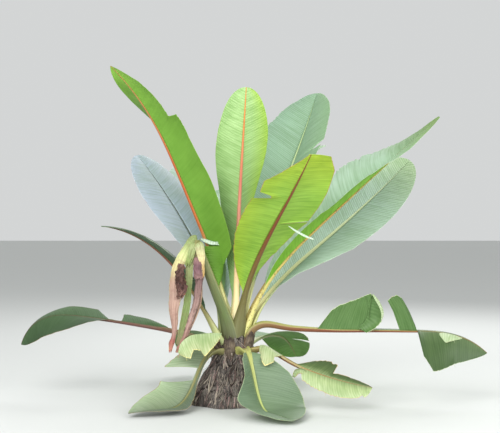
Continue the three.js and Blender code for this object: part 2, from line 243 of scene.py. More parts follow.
def join_root(piece, slot, *nodes):
    """The plant has one body, and this piece rides on it in place of its CAD nodes"""
    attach(piece, "root")
    if nodes:
        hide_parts(*nodes)


def grow(piece, tree, values):
    """Runs a node tree on a piece and keeps what it makes as the piece's plain mesh"""
    modifier = piece.modifiers.new(tree.name, "NODES")
    modifier.node_group = tree
    for item in tree.interface.items_tree:
        if item.item_type == "SOCKET" and item.in_out == "INPUT" and item.name in values:
            modifier[item.identifier] = values[item.name]
    graph = bpy.context.evaluated_depsgraph_get()
    grown = piece.evaluated_get(graph)
    made = bpy.data.meshes.new_from_object(grown, preserve_all_data_layers=True, depsgraph=graph)
    piece.modifiers.clear()
    piece.data = made


def new_tree(name, sockets):
    """A geometry tree with named inputs, as {name: (kind, value)}, and what they give"""
    tree = bpy.data.node_groups.new(name, "GeometryNodeTree")
    tree.interface.new_socket("Geometry", in_out="INPUT", socket_type="NodeSocketGeometry")
    for socket_name, (kind, value) in sockets.items():
        made = tree.interface.new_socket(socket_name, in_out="INPUT", socket_type="NodeSocket" + kind)
        if value is not None:
            made.default_value = value
    tree.interface.new_socket("Geometry", in_out="OUTPUT", socket_type="NodeSocketGeometry")
    return tree, tree.nodes.new("NodeGroupInput").outputs


def dried_sheath(name, tones, fibre_mm):
    """Dried leaf sheath: dead, fibrous and matt, with painted shade darkening the gaps between its coarse
    fibres and the step beside each sheath's torn edge
    """
    material, tree = new_finish(name)
    place = add(tree, "ShaderNodeTexCoord").outputs["Object"]
    scale = (1000 / fibre_mm, 1000 / fibre_mm, 9.0)
    drawn_out = add(tree, "ShaderNodeMapping", {"Vector": place, "Scale": scale})
    grain = {"Vector": drawn_out, "Scale": 1.0, "Detail": 5.0, "Roughness": 0.62}
    fibres = add(tree, "ShaderNodeTexNoise", grain)
    patches = add(tree, "ShaderNodeTexNoise", {"Vector": place, "Scale": 9.0, "Detail": 3.0})
    mixed = add(tree, "ShaderNodeMath", {0: patches, 1: 0.55, 2: fibres}, operation="MULTIPLY_ADD")
    tone = add(tree, "ShaderNodeValToRGB", {"Fac": mixed}, list(zip((0.55, 0.68, 0.8, 0.95), tones.split())))
    # Painted shade: the tone is darkened where the mask marks recesses that lie in shade
    gap_shade = add(tree, "ShaderNodeAttribute", attribute_name="gap_shade").outputs["Fac"]
    shadow = {"Factor": gap_shade, "A": tone, "B": linear("#5B4A42")}
    shaded = add(tree, "ShaderNodeMix", shadow, data_type="RGBA", blend_type="MULTIPLY")
    relief = add(tree, "ShaderNodeBump", {"Strength": 0.7, "Distance": 0.004, "Height": fibres})
    return coated(material, tree, {
        "Base Color": shaded, "Roughness": 0.82, "Specular IOR Level": 0.25, "Normal": relief,
    })


def stem_mesh():
    """The stem's surface, with each dead sheath a step further out and torn at its top"""
    draws = np.random.default_rng(11)
    rings = np.linspace(0, STEM_HEIGHT, STEM_RINGS + 1)
    turns = 2 * np.pi * np.arange(STEM_SIDES) / STEM_SIDES
    height, angle = np.meshgrid(rings, turns, indexing="ij")
    around, up = angle / (2 * np.pi), height / STEM_HEIGHT
    layer = np.zeros_like(height)
    # A mask for painted shade, darkest along the step beside each sheath's torn edge
    gap_shade = np.zeros_like(height)
    for k in range(SHEATHS):
        middle = math.radians(SHEATH_TURN * k)
        off = np.abs((angle - middle + np.pi) % (2 * np.pi) - np.pi)
        top = SHEATH_TOPS[0] + (SHEATH_TOPS[1] - SHEATH_TOPS[0]) * k / (SHEATHS - 1)
        reach = np.radians(SHEATH_SPREAD[0]) + np.radians(SHEATH_SPREAD[1]) * np.clip(1 - height / top, 0, 1)
        small, large = (uneven(draws, around, up * 0, count, 1) for count in TATTERS)
        torn = top - TOP_FALL * (off / reach) ** 2 + TATTER * (0.6 * small + 0.4 * large)
        inside = np.minimum(
            (torn - height) / THINS_OVER[0], (reach - off) * SIDE_RADIUS / THINS_OVER[1]
        )
        covers = step_up(0, 1, inside)
        gap_shade = np.where(inside > 0, gap_shade * (1 - covers), np.maximum(gap_shade, step_up(-2.0, 0, inside)))
        layer = np.where(covers > 0, layer * (1 - covers) + covers * (k + 1), layer)
    coarse = uneven(draws, around + FIBRE_TWIST[0] * up, up, BUNDLES[0], 5)
    fine = uneven(draws, around + FIBRE_TWIST[1] * up, up, BUNDLES[1], 9)
    ridges = FIBRE_RIDGE * (0.65 * coarse + 0.35 * fine)
    relief = (layer * SHEATH_STEP - SHEATH_SET_IN + ridges) * (1 - step_up(SMOOTH_FROM, 1, up))
    radius = stem_radius(height, angle) + relief
    points = [CROWN_OFFSET * up + radius * np.cos(angle), radius * np.sin(angle), height]
    mesh = tube_mesh("stem_sheaths", np.stack(points, axis=-1))
    # Painted shade for the material: the step beside each sheath's torn edge and, half as dark, the grooves
    # between the coarse fibres. More fibres hang where the step's mask is high
    store(mesh, "gap_shade", np.clip(gap_shade + step_up(0.1, 0.9, -coarse) * 0.5, 0, 1))
    store(mesh, "hairy", (1 - step_up(0.8, 0.9, up)) * (0.5 + 0.5 * gap_shade))
    return mesh


def fibre_tree():
    """Strips of dried sheath that hang down the stem from where they are still held"""
    tree, given = new_tree("hanging_fibres", {
        "Density": ("Float", 600.0), "Length": ("Float", 0.12), "Width": ("Float", 0.005),
        "Stand": ("Float", 0.12), "Seed": ("Int", 3), "Pale": ("Material", None), "Dark": ("Material", None),
    })
    hairy = add(tree, "GeometryNodeInputNamedAttribute", {"Name": "hairy"}, data_type="FLOAT")
    density = add(tree, "ShaderNodeMath", {0: hairy, 1: given["Density"]}, operation="MULTIPLY")
    roots = add(
        tree, "GeometryNodeDistributePointsOnFaces",
        {"Mesh": given["Geometry"], "Density": density, "Seed": given["Seed"]},
    )
    line = add(tree, "GeometryNodeCurvePrimitiveLine", {"End": (0.0, 0.0, -1.0)})
    points = add(tree, "GeometryNodeResampleCurve", {"Curve": line, "Count": 8})
    share = add(tree, "GeometryNodeSplineParameter")
    hang = add(
        tree, "GeometryNodeStoreNamedAttribute", {"Geometry": points, "Name": "hang", "Value": share},
        data_type="FLOAT", domain="POINT",
    )
    taper = add(tree, "ShaderNodeMapRange", {"Value": share, "To Min": 1.0, "To Max": 0.35})
    tapered = add(tree, "GeometryNodeSetCurveRadius", {"Curve": hang, "Radius": taper})
    thin = add(tree, "ShaderNodeMath", {0: given["Width"], 1: 0.22}, operation="MULTIPLY")
    profile = add(tree, "GeometryNodeCurvePrimitiveQuadrilateral", {"Width": given["Width"], "Height": thin})
    swept = {"Curve": tapered, "Profile Curve": profile, "Fill Caps": True}
    strip = add(tree, "GeometryNodeCurveToMesh", swept)
    normal = roots.outputs["Normal"]
    rise = add(tree, "ShaderNodeSeparateXYZ", {0: normal}).outputs["Z"]
    stand = {2: -0.02, 3: given["Stand"], "Seed": given["Seed"]}
    lean = add(tree, "FunctionNodeRandomValue", stand, data_type="FLOAT")
    pull = add(tree, "ShaderNodeMath", {0: rise, 1: lean}, operation="ADD")
    off = add(tree, "ShaderNodeVectorMath", {0: normal, "Scale": pull}, operation="SCALE")
    upward = add(tree, "ShaderNodeVectorMath", {0: (0.0, 0.0, 1.0), 1: off}, operation="SUBTRACT")
    swing = {0: (-0.25, -0.25, 0.0), 1: (0.25, 0.25, 0.0), "Seed": 8}
    sway = add(tree, "FunctionNodeRandomValue", swing, data_type="FLOAT_VECTOR")
    swung = add(tree, "ShaderNodeVectorMath", {0: upward, 1: sway}, operation="ADD")
    upright = add(tree, "FunctionNodeAlignRotationToVector", {"Vector": swung}, axis="Z")
    turn = {"Rotation": upright, "Vector": normal}
    facing = add(tree, "FunctionNodeAlignRotationToVector", turn, axis="Y", pivot_axis="Z")
    longer = add(tree, "FunctionNodeRandomValue", {2: 0.35, 3: 1.5, "Seed": 21}, data_type="FLOAT")
    length = add(tree, "ShaderNodeMath", {0: longer, 1: given["Length"]}, operation="MULTIPLY")
    held_at = add(tree, "GeometryNodeInputPosition")
    held_height = add(tree, "ShaderNodeSeparateXYZ", {0: held_at}).outputs["Z"]
    room = add(tree, "ShaderNodeMath", {0: held_height, 1: FIBRE_ROOM}, operation="MULTIPLY")
    fitted = add(tree, "ShaderNodeMath", {0: length, 1: room}, operation="MINIMUM")
    size = add(tree, "ShaderNodeCombineXYZ", {"X": 1.0, "Y": 1.0, "Z": fitted})
    held = {"Points": roots, "Instance": strip, "Rotation": facing, "Scale": size}
    placed = add(tree, "GeometryNodeInstanceOnPoints", held)
    real = add(tree, "GeometryNodeRealizeInstances", {"Geometry": placed})
    where = add(tree, "GeometryNodeInputPosition")
    wander = add(tree, "ShaderNodeTexNoise", {"Vector": where, "Scale": 14.0, "Detail": 2.0}).outputs["Color"]
    centred = add(tree, "ShaderNodeVectorMath", {0: wander, 1: (0.5, 0.5, 0.5)}, operation="SUBTRACT")
    hung = add(tree, "GeometryNodeInputNamedAttribute", {"Name": "hang"}, data_type="FLOAT")
    amount = add(tree, "ShaderNodeMath", {0: hung, 1: 0.07}, operation="MULTIPLY")
    bent = add(tree, "ShaderNodeVectorMath", {0: centred, "Scale": amount}, operation="SCALE")
    moved = add(tree, "GeometryNodeSetPosition", {"Geometry": real, "Offset": bent})
    x, y, z = add(tree, "ShaderNodeSeparateXYZ", {0: where}).outputs
    over_ground = add(tree, "ShaderNodeMath", {0: z, 1: LEAST_HEIGHT}, operation="MAXIMUM")
    kept = add(tree, "ShaderNodeCombineXYZ", {"X": x, "Y": y, "Z": over_ground})
    grounded = add(tree, "GeometryNodeSetPosition", {"Geometry": moved, "Position": kept})
    pale = add(tree, "GeometryNodeSetMaterial", {"Geometry": grounded, "Material": given["Pale"]})
    patch = add(tree, "ShaderNodeTexNoise", {"Vector": where, "Scale": 11.0})
    chosen = add(tree, "FunctionNodeCompare", {0: patch, 1: 0.5}, data_type="FLOAT", operation="GREATER_THAN")
    dark = add(
        tree, "GeometryNodeSetMaterial", {"Geometry": pale, "Selection": chosen, "Material": given["Dark"]}
    )
    add(tree, "NodeGroupOutput", {"Geometry": dark})
    return tree


brown_sheath = dried_sheath("dried_brown_sheath", "#201D1C #433E3B #5E5853 #857D74", 7.0)
straw_fibre = dried_sheath("straw_sheath_fibre", "#5C544C #877C72 #A3978A #C2B8A4", 3.0)
rust_fibre = dried_sheath("rust_sheath_fibre", "#40332F #6E5A56 #8C7671 #AA958F", 3.0)

stem = make_object("stem_sheaths", stem_mesh())
stem.data.materials.append(brown_sheath)
join_root(stem, "stem", "stem")
hanging = fibre_tree()
for fibres_name, density, length, width, stand, seed in (
    ("stem_sheath_strips", 330.0, 0.25, 0.012, 0.10, 3),
    ("stem_fibres", 900.0, 0.13, 0.0035, 0.20, 6),
):
    fibres = make_object(fibres_name, stem.data.copy())
    grow(fibres, hanging, {
        "Density": density, "Length": length, "Width": width, "Stand": stand, "Seed": seed,
        "Pale": straw_fibre, "Dark": rust_fibre,
    })
    join_root(fibres, "stem")


# The leaves: a channelled stalk runs on as the rib of a long thin blade, whose close veins
# leave the rib aslant and pleat it lightly. Waxy and bluish above, yellower below.
STALK_FOOT_HALF = 0.046  # half the stalk's width where it leaves the stem
STALK_HALF = 0.027  # and where the blade begins
STALK_FOOT_DEPTH = 0.042
STALK_DEPTH = 0.030
RIB_TIP = 0.003  # half the rib's width, and its depth, at the leaf's tip
CHANNEL = 0.006  # depth of the groove along the stalk and rib
LIPS = (0.020, 0.008, 0.0015)  # how far its edges stand up at the foot, the blade and the tip
LIP_END = 0.12  # the part of a blade by whose end they are down to the last of these
BARE_LIP = 0.01  # how much higher they stand on a stalk without a blade
CLASP = 0.030  # what the stalk's foot widens by where it wraps the stem
CLASP_RUN = 0.32  # from the foot to where it no longer does
WING = 0.002  # the least half of a blade
FULLNESS = 1.3  # how fast the outline narrows to both ends
FRAME_STEPS = 480  # that a leaf's run is worked out in
RIB_STEPS = 260
FOOT_PART, FOOT_STEPS = 0.2, 79  # the part of a leaf where its rib's rings lie closer
RIB_ROUND = 11  # points over the channel, and as many round the keel
VEIN_SPACING = 0.021  # from one pleat to the next along the rib
LINES_A_PLEAT = 4  # of the blade's mesh
VEIN_BEND = 0.4  # share of a vein's slant that comes with the square of its way out
PLEAT_DEPTH = 0.0009
PLEAT_END = 0.12  # the last of a blade, over which its pleats go flat
ARCH = 14  # degrees that a half's rise by the rib gives back by its margin
BLADE_THICK = (0.0022, 0.0009)  # by the rib and at the margin
MARGIN = 0.004  # width of a blade's dried margin
FRAY, FRAY_RUN = 0.05, 0.016  # depth, as a share of the width, and length of a tear's nicks
COLUMNS = [0, 0.05, 0.12, 0.21, 0.31, 0.41, 0.52, 0.63, 0.74, 0.85, 0.93]  # across a half
SINK = 0.003  # how far a blade's inner edge lies in the rib
SWAY, SWAY_RUN = 0.010, 0.22  # height, for a usual half, and length of a blade's slow waves
USUAL_HALF = 0.25
RUFFLE, RUFFLE_RUN = 0.0035, 0.06  # and of the quick ones at its margin

# What a leaf is like unless its own line says otherwise. `right` and `left` are how much of
# its full width each half keeps, at places from 0 at the blade's start to 1 at its tip.
PLAIN_LEAF = dict(
    widest=0.62, cut_at=1, slant=0.5, drag=[(0, 1), (1, 1)], right=[(0, 1), (1, 1)], left=[(0, 1), (1, 1)],
    roll=[0, 0], curl=-6, stout=1, fray=1.0, ruffle=1.0, pleat=PLEAT_DEPTH,
    # The next line sets, among others, the painted light and shade along the pleats: how much paler each
    # crest and darker each trough is painted, and how much of it and of the streaks is kept
    painted_pleat_shade=0.11, streaks_and_pleat_shade=1.0, tip=None, gloss=0.42, shine=0.5, bloom=0.15, spots=0.12,
)

# Each leaf's run is the CAD's own, in metres and degrees, with finer tears. Its colours are
# those of its upper and lower side, from the left margin over the rib to the right one, of
# its channel and keel, from the foot to the tip, and of its margin.
CENTRE_KEEPS = [(0, 0.8), (0.3, 0.8), (0.5, 0.87), (0.66, 1), (0.8, 1.07), (0.92, 1.12), (1, 1.15)]
LEAVES = {
    "leaf_centre": dict(
        azimuth=[-78], foot=(0.018, 0.6), length=2.08, stalk=0.1, width=0.45, lean=[-4, 10, 17, 17],
        fold=[66, 56, 48, 30, 8, 4], fray=0.0, right=CENTRE_KEEPS, left=CENTRE_KEEPS,
        upper="#7FAE6E #8CBA7C #7FAE6E", lower="#A9CB52 #AFD08B #B4D493 #A9CC88", margin="#8DB45C",
        # The keel's first tone, at the stalk's foot, is brightened past the stalk's own pale yellow as
        # painted light, where the stalks lie in the crown's shade
        channel="#D9D29A #D8B08A #C98E70", keel="#FFF8CC #F4DEA8 #DFA188 #D67F70 #D98A4A",
    ),
    "leaf_front": dict(
        azimuth=[-62], foot=(0.05, 0.56), length=1.935, stalk=0.2, width=0.61, lean=[9, 39, 48, 43],
        roll=[0, -4], fold=[40, 10, 4, 2], curl=-4, slant=0.12, cut_at=0.9, fray=0.35,
        right=[
            (0, 1), (0.2, 1.1), (0.45, 1.13), (0.68, 1.04), (0.7, 0.52), (0.715, 0.54), (0.73, 0.92),
            (0.8, 0.95), (1, 0.08),
        ],
        left=[(0, 0.6), (0.3, 0.8), (0.5, 1), (0.515, 1), (0.52, 0.15), (0.525, 1), (0.9, 1), (1, 0.8)],
        upper="#6E9E4A #7CAB55 #6E9E4A", lower="#9DCA4B #A1CB52 #A1CA50 #B1CF40", margin="#B08A4A",
        channel="#7F8050 #8C7A45 #8F5A34", keel="#6E704A #6E6438 #7A4526 #7A4428",
        pleat=0.0004, painted_pleat_shade=0.06, tip="#B4CC3C",
    ),
    "leaf_tall_left": dict(
        azimuth=[206, 208, 218], foot=(0.055, 0.56), length=2.52, stalk=0.15, width=0.59, widest=0.42,
        lean=[5, 23, 28, 52], roll=[-13, -13, -4], fold=[[48, 48], [46, 45], [26, 36], [-30, 14]],
        curl=-8, fray=0.4, ruffle=0.3,
        left=[
            (0, 0.08), (0.09, 0.08), (0.15, 1), (0.6, 1), (0.69, 1.16), (0.72, 0.8), (0.79, 0.95),
            (0.88, 1.12), (1, 1),
        ],
        upper="#6F9E55 #7BAA60 #6F9E55", lower="#7BA940 #7DAC43 #76A43D", margin="#7EA842",
        # The keel's first tone, at the stalk's foot, is brightened past the stalk's own pale yellow as
        # painted light, where the stalks lie in the crown's shade
        channel="#C4CB80 #B88A50 #B07040", keel="#EEF4B8 #DEDC98 #B8652F #AE5629 #A87A44",
        pleat=0.0, painted_pleat_shade=0.04, streaks_and_pleat_shade=0.3, shine=0.3, tip="#8CBC4C",
    ),
    "leaf_back_right": dict(
        azimuth=[62], foot=(0.045, 0.58), length=2.755, stalk=0.16, width=0.64, lean=[29, 36, 40, 35],
        fold=[50, 36, 28, 16], fray=0.3,
        right=[(0, 1), (0.62, 1.06), (0.632, 0.74), (0.64, 0.76), (0.65, 1.08), (0.9, 1.05), (1, 0.9)],
        left=[(0, 1), (0.4, 1.12), (0.7, 1.26), (0.9, 1.1), (1, 0.9)],
        upper="#8AAC90 #97B899 #8EB384", lower="#8FB86A #9AC078 #8FB86A", margin="#A4BCA2", painted_pleat_shade=0.18,
        channel="#DCD9A0 #C6D29C #B4D09A", keel="#D8D59A #BFC988 #A8C080 #9AB070",
    ),
    "leaf_right_folded": dict(
        azimuth=[3], foot=(0.06, 0.56), length=2.56, stalk=0.17, width=0.56, lean=[15, 44, 48, 48],
        roll=[8, 10, 10, 14, 8, 4], fold=[56, 44, 32, 26, 8, 2], curl=-4,
        left=[(0, 1), (0.35, 1.1), (0.5, 1.25), (0.72, 1.22), (0.86, 0.95), (1, 0.75)],
        upper="#B3C9B6 #A1BFA0 #9EBE97", lower="#8FC745 #92CA4C #8CC442", margin="#B7C7B3",
        channel="#C8C078 #C08A50 #A87848", keel="#DCDA90 #CDBE6C #BE9A50 #94B654", spots=0.8,
        pleat=0.0002, painted_pleat_shade=0.04, tip="#7E9E4C", shine=0.12, gloss=0.8,
    ),
    "leaf_right_open": dict(
        azimuth=[28], foot=(0.075, 0.545), length=2.36, stalk=0.15, width=0.58, lean=[27, 52, 53, 48],
        roll=[20, 48, 50], fold=[50, 22, 14, 8], ruffle=1.8,
        upper="#BCD0C4 #AFC7B7 #ABC3AF", lower="#8DB660 #98BE70 #8DB660", margin="#B9CBB8",
        channel="#D8D49A #CCD2A4 #BCCCA8", keel="#D0DA94 #BCC888 #A8B478 #98A468",
        tip="#A8C094", painted_pleat_shade=0.26, pleat=0.0013,
    ),
    "leaf_back_left": dict(
        azimuth=[122], foot=(0.05, 0.575), length=1.77, stalk=0.16, width=0.5, lean=[22, 34, 37, 40],
        fold=[55, 28, 20, 12],
        upper="#AFC6BC #A6C2B2 #B0C8C0", lower="#90B870 #98BE78 #90B870", margin="#C8D8CE",
        channel="#D0D09A #B8CCA0 #A8C4A0", keel="#C8C890 #A8BC80 #98B078 #90A468",
    ),
    "leaf_left_pale": dict(
        azimuth=[152], foot=(0.1, 0.545), length=1.85, stalk=0.17, width=0.54, lean=[6, 27, 36, 44],
        roll=[0, -8], fold=[[50, 40], [24, 6], [16, -8], [10, -6]], curl=-8,
        upper="#ACB8CA #9AABB7 #8B9CA4", lower="#88AC78 #90B480 #88AC78", margin="#ACB7C0",
        channel="#8E9A78 #5E6A5C #56625A", keel="#B0B880 #8AA070 #7A9468 #74905C",
        bloom=0.35, pleat=0.0003, painted_pleat_shade=0.08,
    ),
    "leaf_rear": dict(
        azimuth=[92], foot=(0.078, 0.555), length=2.15, stalk=0.18, width=0.54, lean=[20, 46, 58, 78],
        fold=[50, 24, 16, 6], curl=-8,
        upper="#9CC0A0 #A2C4A2 #96BC94", lower="#8CB464 #94BA70 #8CB464", margin="#C8D8C4",
        channel="#D4D49C #C0CE9C #B0C898", keel="#C4C888 #A8B878 #98AC70 #8CA060",
    ),
    "leaf_left_mid": dict(
        azimuth=[184], foot=(0.095, 0.5), length=1.5, stalk=0.2, width=0.47, lean=[28, 33, 52, 84],
        fold=[50, 24, 14, 4], curl=-8, bloom=0.05,
        upper="#4B6A4A #527350 #4B6A4A", lower="#446344 #4C6E4C #446344", margin="#8C9C70",
        channel="#B8C088 #8C6A50 #7A5040", keel="#BCCC90 #9A8C58 #7C4C38 #7A5A40",
    ),
    "leaf_left_low": dict(
        azimuth=[174], foot=(0.105, 0.44), length=1.92, stalk=0.24, width=0.49,
        lean=[58, 79, 83, 92, 165], fold=[[40, 20], [16, 10], [14, -30], [10, -56]], bloom=0.0,
        right=[(0, 1), (0.3, 1), (0.34, 0.1), (0.42, 0.1), (0.46, 1), (1, 1)],
        left=[(0, 0.1), (0.42, 0.1), (0.47, 1), (1, 1)],
        # This leaf lies in the shade of the leaves above it: its tones are its own green, darkened further as
        # painted shade
        upper="#3E5638 #4A6640 #567848", lower="#3E5838 #46623E #46623E", margin="#7A6A48",
        channel="#8E9068 #7A4A3C #6E3C34", keel="#879E71 #6C493E #5C3A35 #5C493E",
    ),
    "leaf_right_low": dict(
        azimuth=[-6], foot=(0.105, 0.525), length=2.13, stalk=0.32, width=0.62, widest=0.5,
        lean=[0, 94, 93, 91, 90, 91, 92, 108, 134], curl=-4, fray=0.25,
        fold_at=[
            (0, 70, 20), (0.17, 76, 6), (0.31, 76, -3), (0.56, 68, -4), (0.575, 60, -4), (0.585, -30, -4),
            (0.64, -44, -3), (0.83, -60, 0), (1, -58, 0),
        ],
        drag=[
            (0, 1), (0.12, 0.9), (0.3, 0.15), (0.42, 0.1), (0.44, -0.8), (0.575, -0.8), (0.58, 0.3),
            (0.7, 0.5), (1, 1),
        ],
        right=[
            (0, 1.2), (0.056, 1.42), (0.12, 1.27), (0.186, 1.19), (0.26, 1.22), (0.292, 1.22),
            (0.3, 1.16), (0.304, 0.04), (0.475, 0.04), (0.48, 0.95), (0.52, 1.08), (0.55, 1.12),
            (0.568, 1.05), (0.574, 0.04), (0.583, 0.04), (0.59, 1), (0.64, 1.4), (0.7, 1.36),
            (0.8, 1.2), (1, 1.3),
        ],
        left=[(0, 1), (0.3, 1), (0.56, 0.9), (0.66, 0.5), (1, 0.6)],
        upper="#98A890 #6C8054 #465F30 #425C2C", lower="#60804A #64864E #66884F", margin="#A9B890",
        channel="#A2A862 #AAB068 #9A8452", keel="#86724E #80503A #784432 #94603C",
        bloom=0.03, pleat=0.0005,
    ),
    "leaf_rear_low": dict(
        azimuth=[106], foot=(0.105, 0.4), length=1.62, stalk=0.24, width=0.47,
        lean=[74, 88, 102, 132], roll=[0, 8], fold=[40, 16, 6, -6], curl=-10,
        upper="#7CA078 #86AA80 #7CA078", lower="#74985C #7EA266 #74985C", margin="#A8B48C",
        channel="#B8BC88 #A8B080 #98A470", keel="#A8AC78 #94A068 #8C9860 #86904E",
    ),
    "leaf_rear_right_low": dict(
        azimuth=[68], foot=(0.105, 0.4), length=1.56, stalk=0.24, width=0.46,
        lean=[72, 88, 104, 136], roll=[0, -8], fold=[40, 16, 4, -8], curl=-10,
        right=[(0, 1), (0.7, 1), (0.715, 0.3), (0.725, 0.32), (0.74, 1), (1, 1)],
        left=[(0, 1), (0.5, 1), (0.512, 0.4), (0.52, 0.42), (0.53, 1), (1, 1)],
        upper="#7CA46C #86AE74 #7CA46C", lower="#6E9C48 #78A652 #6E9C48", margin="#A8B080",
        channel="#B4BC80 #A0AC70 #94A064", keel="#9CA468 #8C985C #849054 #7E8848",
    ),
    "leaf_front_low": dict(
        azimuth=[-66], foot=(0.11, 0.43), length=1.25, stalk=0.16, width=0.56, widest=0.5,
        lean=[34, 128, 152, 138, 90, 88, 92], fold=[[40, 20], [50, 8], [30, 4], [16, 10], [6, 6]],
        curl=-4, stout=0.75, fray=0.0, left=[(0, 1.2), (0.15, 1.4), (0.35, 1.36), (0.6, 1.08), (1, 1)],
        upper="#6A835E #708762 #647F5A", lower="#82A65C #8CB066 #82A65C", margin="#A8B890",
        channel="#A8A868 #B0BA70 #A4B878", keel="#A0A060 #A8B068 #A0A860 #98A058",
    ),
    "leaf_right_torn": dict(
        azimuth=[-22], foot=(0.11, 0.42), length=1.16, stalk=0.14, width=0.46, widest=0.45,
        lean=[50, 116, 108, 102, 96], fold=[[-50, 10], [-56, 30], [-56, 44], [-50, 40], [-50, 10]],
        curl=-4,
        right=[
            (0, 0.3), (0.1, 0.35), (0.18, 0.3), (0.21, 0.1), (0.43, 0.1), (0.45, 0.5), (0.62, 0.7),
            (0.8, 1), (0.92, 1.3), (1, 3),
        ],
        left=[
            (0, 0.1), (0.38, 0.1), (0.45, 0.5), (0.55, 0.72), (0.64, 0.7), (0.68, 0.25), (0.7, 0.3),
            (0.9, 0.5), (1, 0.5),
        ],
        upper="#3E5224 #566A34 #B3C28C #C0CE9C", lower="#6E8C48 #88A464 #A8C088", margin="#C8A878",
        channel="#A4A060 #A88C58 #A07850", keel="#98945C #8C6444 #845A40 #7E5A40",
        bloom=0.05, pleat=0.0005,
    ),
    "leaf_left_torn": dict(
        azimuth=[222], foot=(0.11, 0.43), length=1.2, stalk=0.12, width=0.52, widest=0.4,
        lean=[48, 128, 152, 136, 90, 88, 92], fold=[[30, 20], [40, 20], [50, 10], [36, 10], [6, 6]],
        right=[(0, 1), (0.2, 1.2), (0.23, 0.1), (0.34, 0.1), (0.38, 1), (1, 1)],
        left=[(0, 0.3), (0.34, 0.2), (0.5, 0.6), (0.62, 1), (1, 1)],
        # This leaf hangs in the shade of the leaves above it: its tones are its own green, darkened further
        # as painted shade, most of all on its lower side and towards its left margin
        upper="#556450 #738260 #A7BA90", lower="#56664A #607050 #607050", margin="#A09060",
        channel="#8C8A58 #8A8A5C #7E8458", keel="#86845A #7A7A50 #747650 #6E704C",
    ),
}


def directions(leaf, share):
    """The directions at share of a leaf, along its rib, to its upper side and to its right"""
    share = np.asarray(share, float)
    compass = np.radians(spread(leaf["azimuth"], share))
    lean = np.radians(spread(leaf["lean"], share))
    roll = np.radians(spread(leaf["roll"], np.maximum(0, blade_place(leaf, share))))
    out = np.stack([np.cos(compass), np.sin(compass), 0 * compass], axis=-1)
    upright = np.array([0.0, 0.0, 1.0])
    along = out * np.sin(lean)[..., None] + upright * np.cos(lean)[..., None]
    up = -out * np.cos(lean)[..., None] + upright * np.sin(lean)[..., None]
    up = up * np.cos(roll)[..., None] + np.cross(along, up) * np.sin(roll)[..., None]
    return along, up, np.cross(along, up)


def blade_place(leaf, share):
    """0 where the blade begins and 1 at the leaf's tip, and below 0 on the stalk"""
    if leaf["stalk"] >= 1:
        return share * 0 - 1
    return (share - leaf["stalk"]) / (1 - leaf["stalk"])


def walk(leaf, foot):
    """Points and directions at even steps along a leaf from its foot"""
    shares = np.linspace(0, 1, FRAME_STEPS + 1)
    middles, _, _ = directions(leaf, (shares[:-1] + shares[1:]) / 2)
    steps = np.cumsum(middles, axis=0) * leaf["length"] / FRAME_STEPS
    along, up, right = directions(leaf, shares)
    return dict(share=shares, point=foot + np.vstack([np.zeros(3), steps]), along=along, up=up, right=right)


def on(path, share):
    """A walked path's points and its directions to the right and up, at each share"""
    return [
        np.stack([np.interp(share, path["share"], path[key][:, c]) for c in range(3)], axis=-1)
        for key in ("point", "right", "up")
    ]


def outline(place, widest):
    """The blade's half-width by its place, as a share of the widest"""
    place = np.clip(place, 0, 1)
    rise = (place / widest) ** widest
    fall = ((1 - place) / (1 - widest)) ** (1 - widest)
    return (rise * fall) ** FULLNESS


def rib_size(leaf, share):
    """Half the rib's width, its depth and its groove"""
    stalk = np.clip(share / leaf["stalk"], 0, 1)
    rest = 1 - np.maximum(0, blade_place(leaf, share))
    half = (STALK_FOOT_HALF + (STALK_HALF - STALK_FOOT_HALF) * stalk) * leaf["stout"]
    depth = STALK_FOOT_DEPTH + (STALK_DEPTH - STALK_FOOT_DEPTH) * stalk
    return RIB_TIP + (half - RIB_TIP) * rest, RIB_TIP + (depth - RIB_TIP) * rest, CHANNEL * rest


def foot_point(leaf):
    """The point inside the stem where a leaf starts"""
    reach, height = leaf["foot"]
    compass = math.radians(leaf["azimuth"][0])
    crown = CROWN_OFFSET * height / STEM_HEIGHT
    return np.array([crown + reach * math.cos(compass), reach * math.sin(compass), height])


def fold_of(leaf, k, place):
    """How far a half rises over flat, in degrees, for k 0 the right one and 1 the left"""
    place = np.clip(place, 0, 1)
    if "fold_at" in leaf:
        return np.interp(place, [f[0] for f in leaf["fold_at"]], [f[1 + k] for f in leaf["fold_at"]])
    return spread([f[k] if isinstance(f, list) else f for f in leaf["fold"]], place)


def slab_faces(lines, columns):
    """The faces of a closed thin slab over a grid, its upper side first, then its lower"""
    i, j = np.meshgrid(np.arange(lines - 1), np.arange(columns - 1), indexing="ij")
    a = (i * columns + j).ravel()
    upper = np.stack([a, a + 1, a + 1 + columns, a + columns], axis=1)
    below = lines * columns
    lower = upper[:, ::-1] + below
    n = np.arange(lines - 1) * columns
    m = np.arange(columns - 1)
    outer, end = n + columns - 1, (lines - 1) * columns
    rim = np.stack([outer, outer + below, outer + below + columns, outer + columns], axis=1)
    root = np.stack([n, n + columns, n + below + columns, n + below], axis=1)
    start = np.stack([m + below, m + below + 1, m + 1, m], axis=1)
    close = np.stack([m, m + 1, m + below + 1, m + below], axis=1) + end
    return np.vstack([upper, lower, rim, root, start, close])


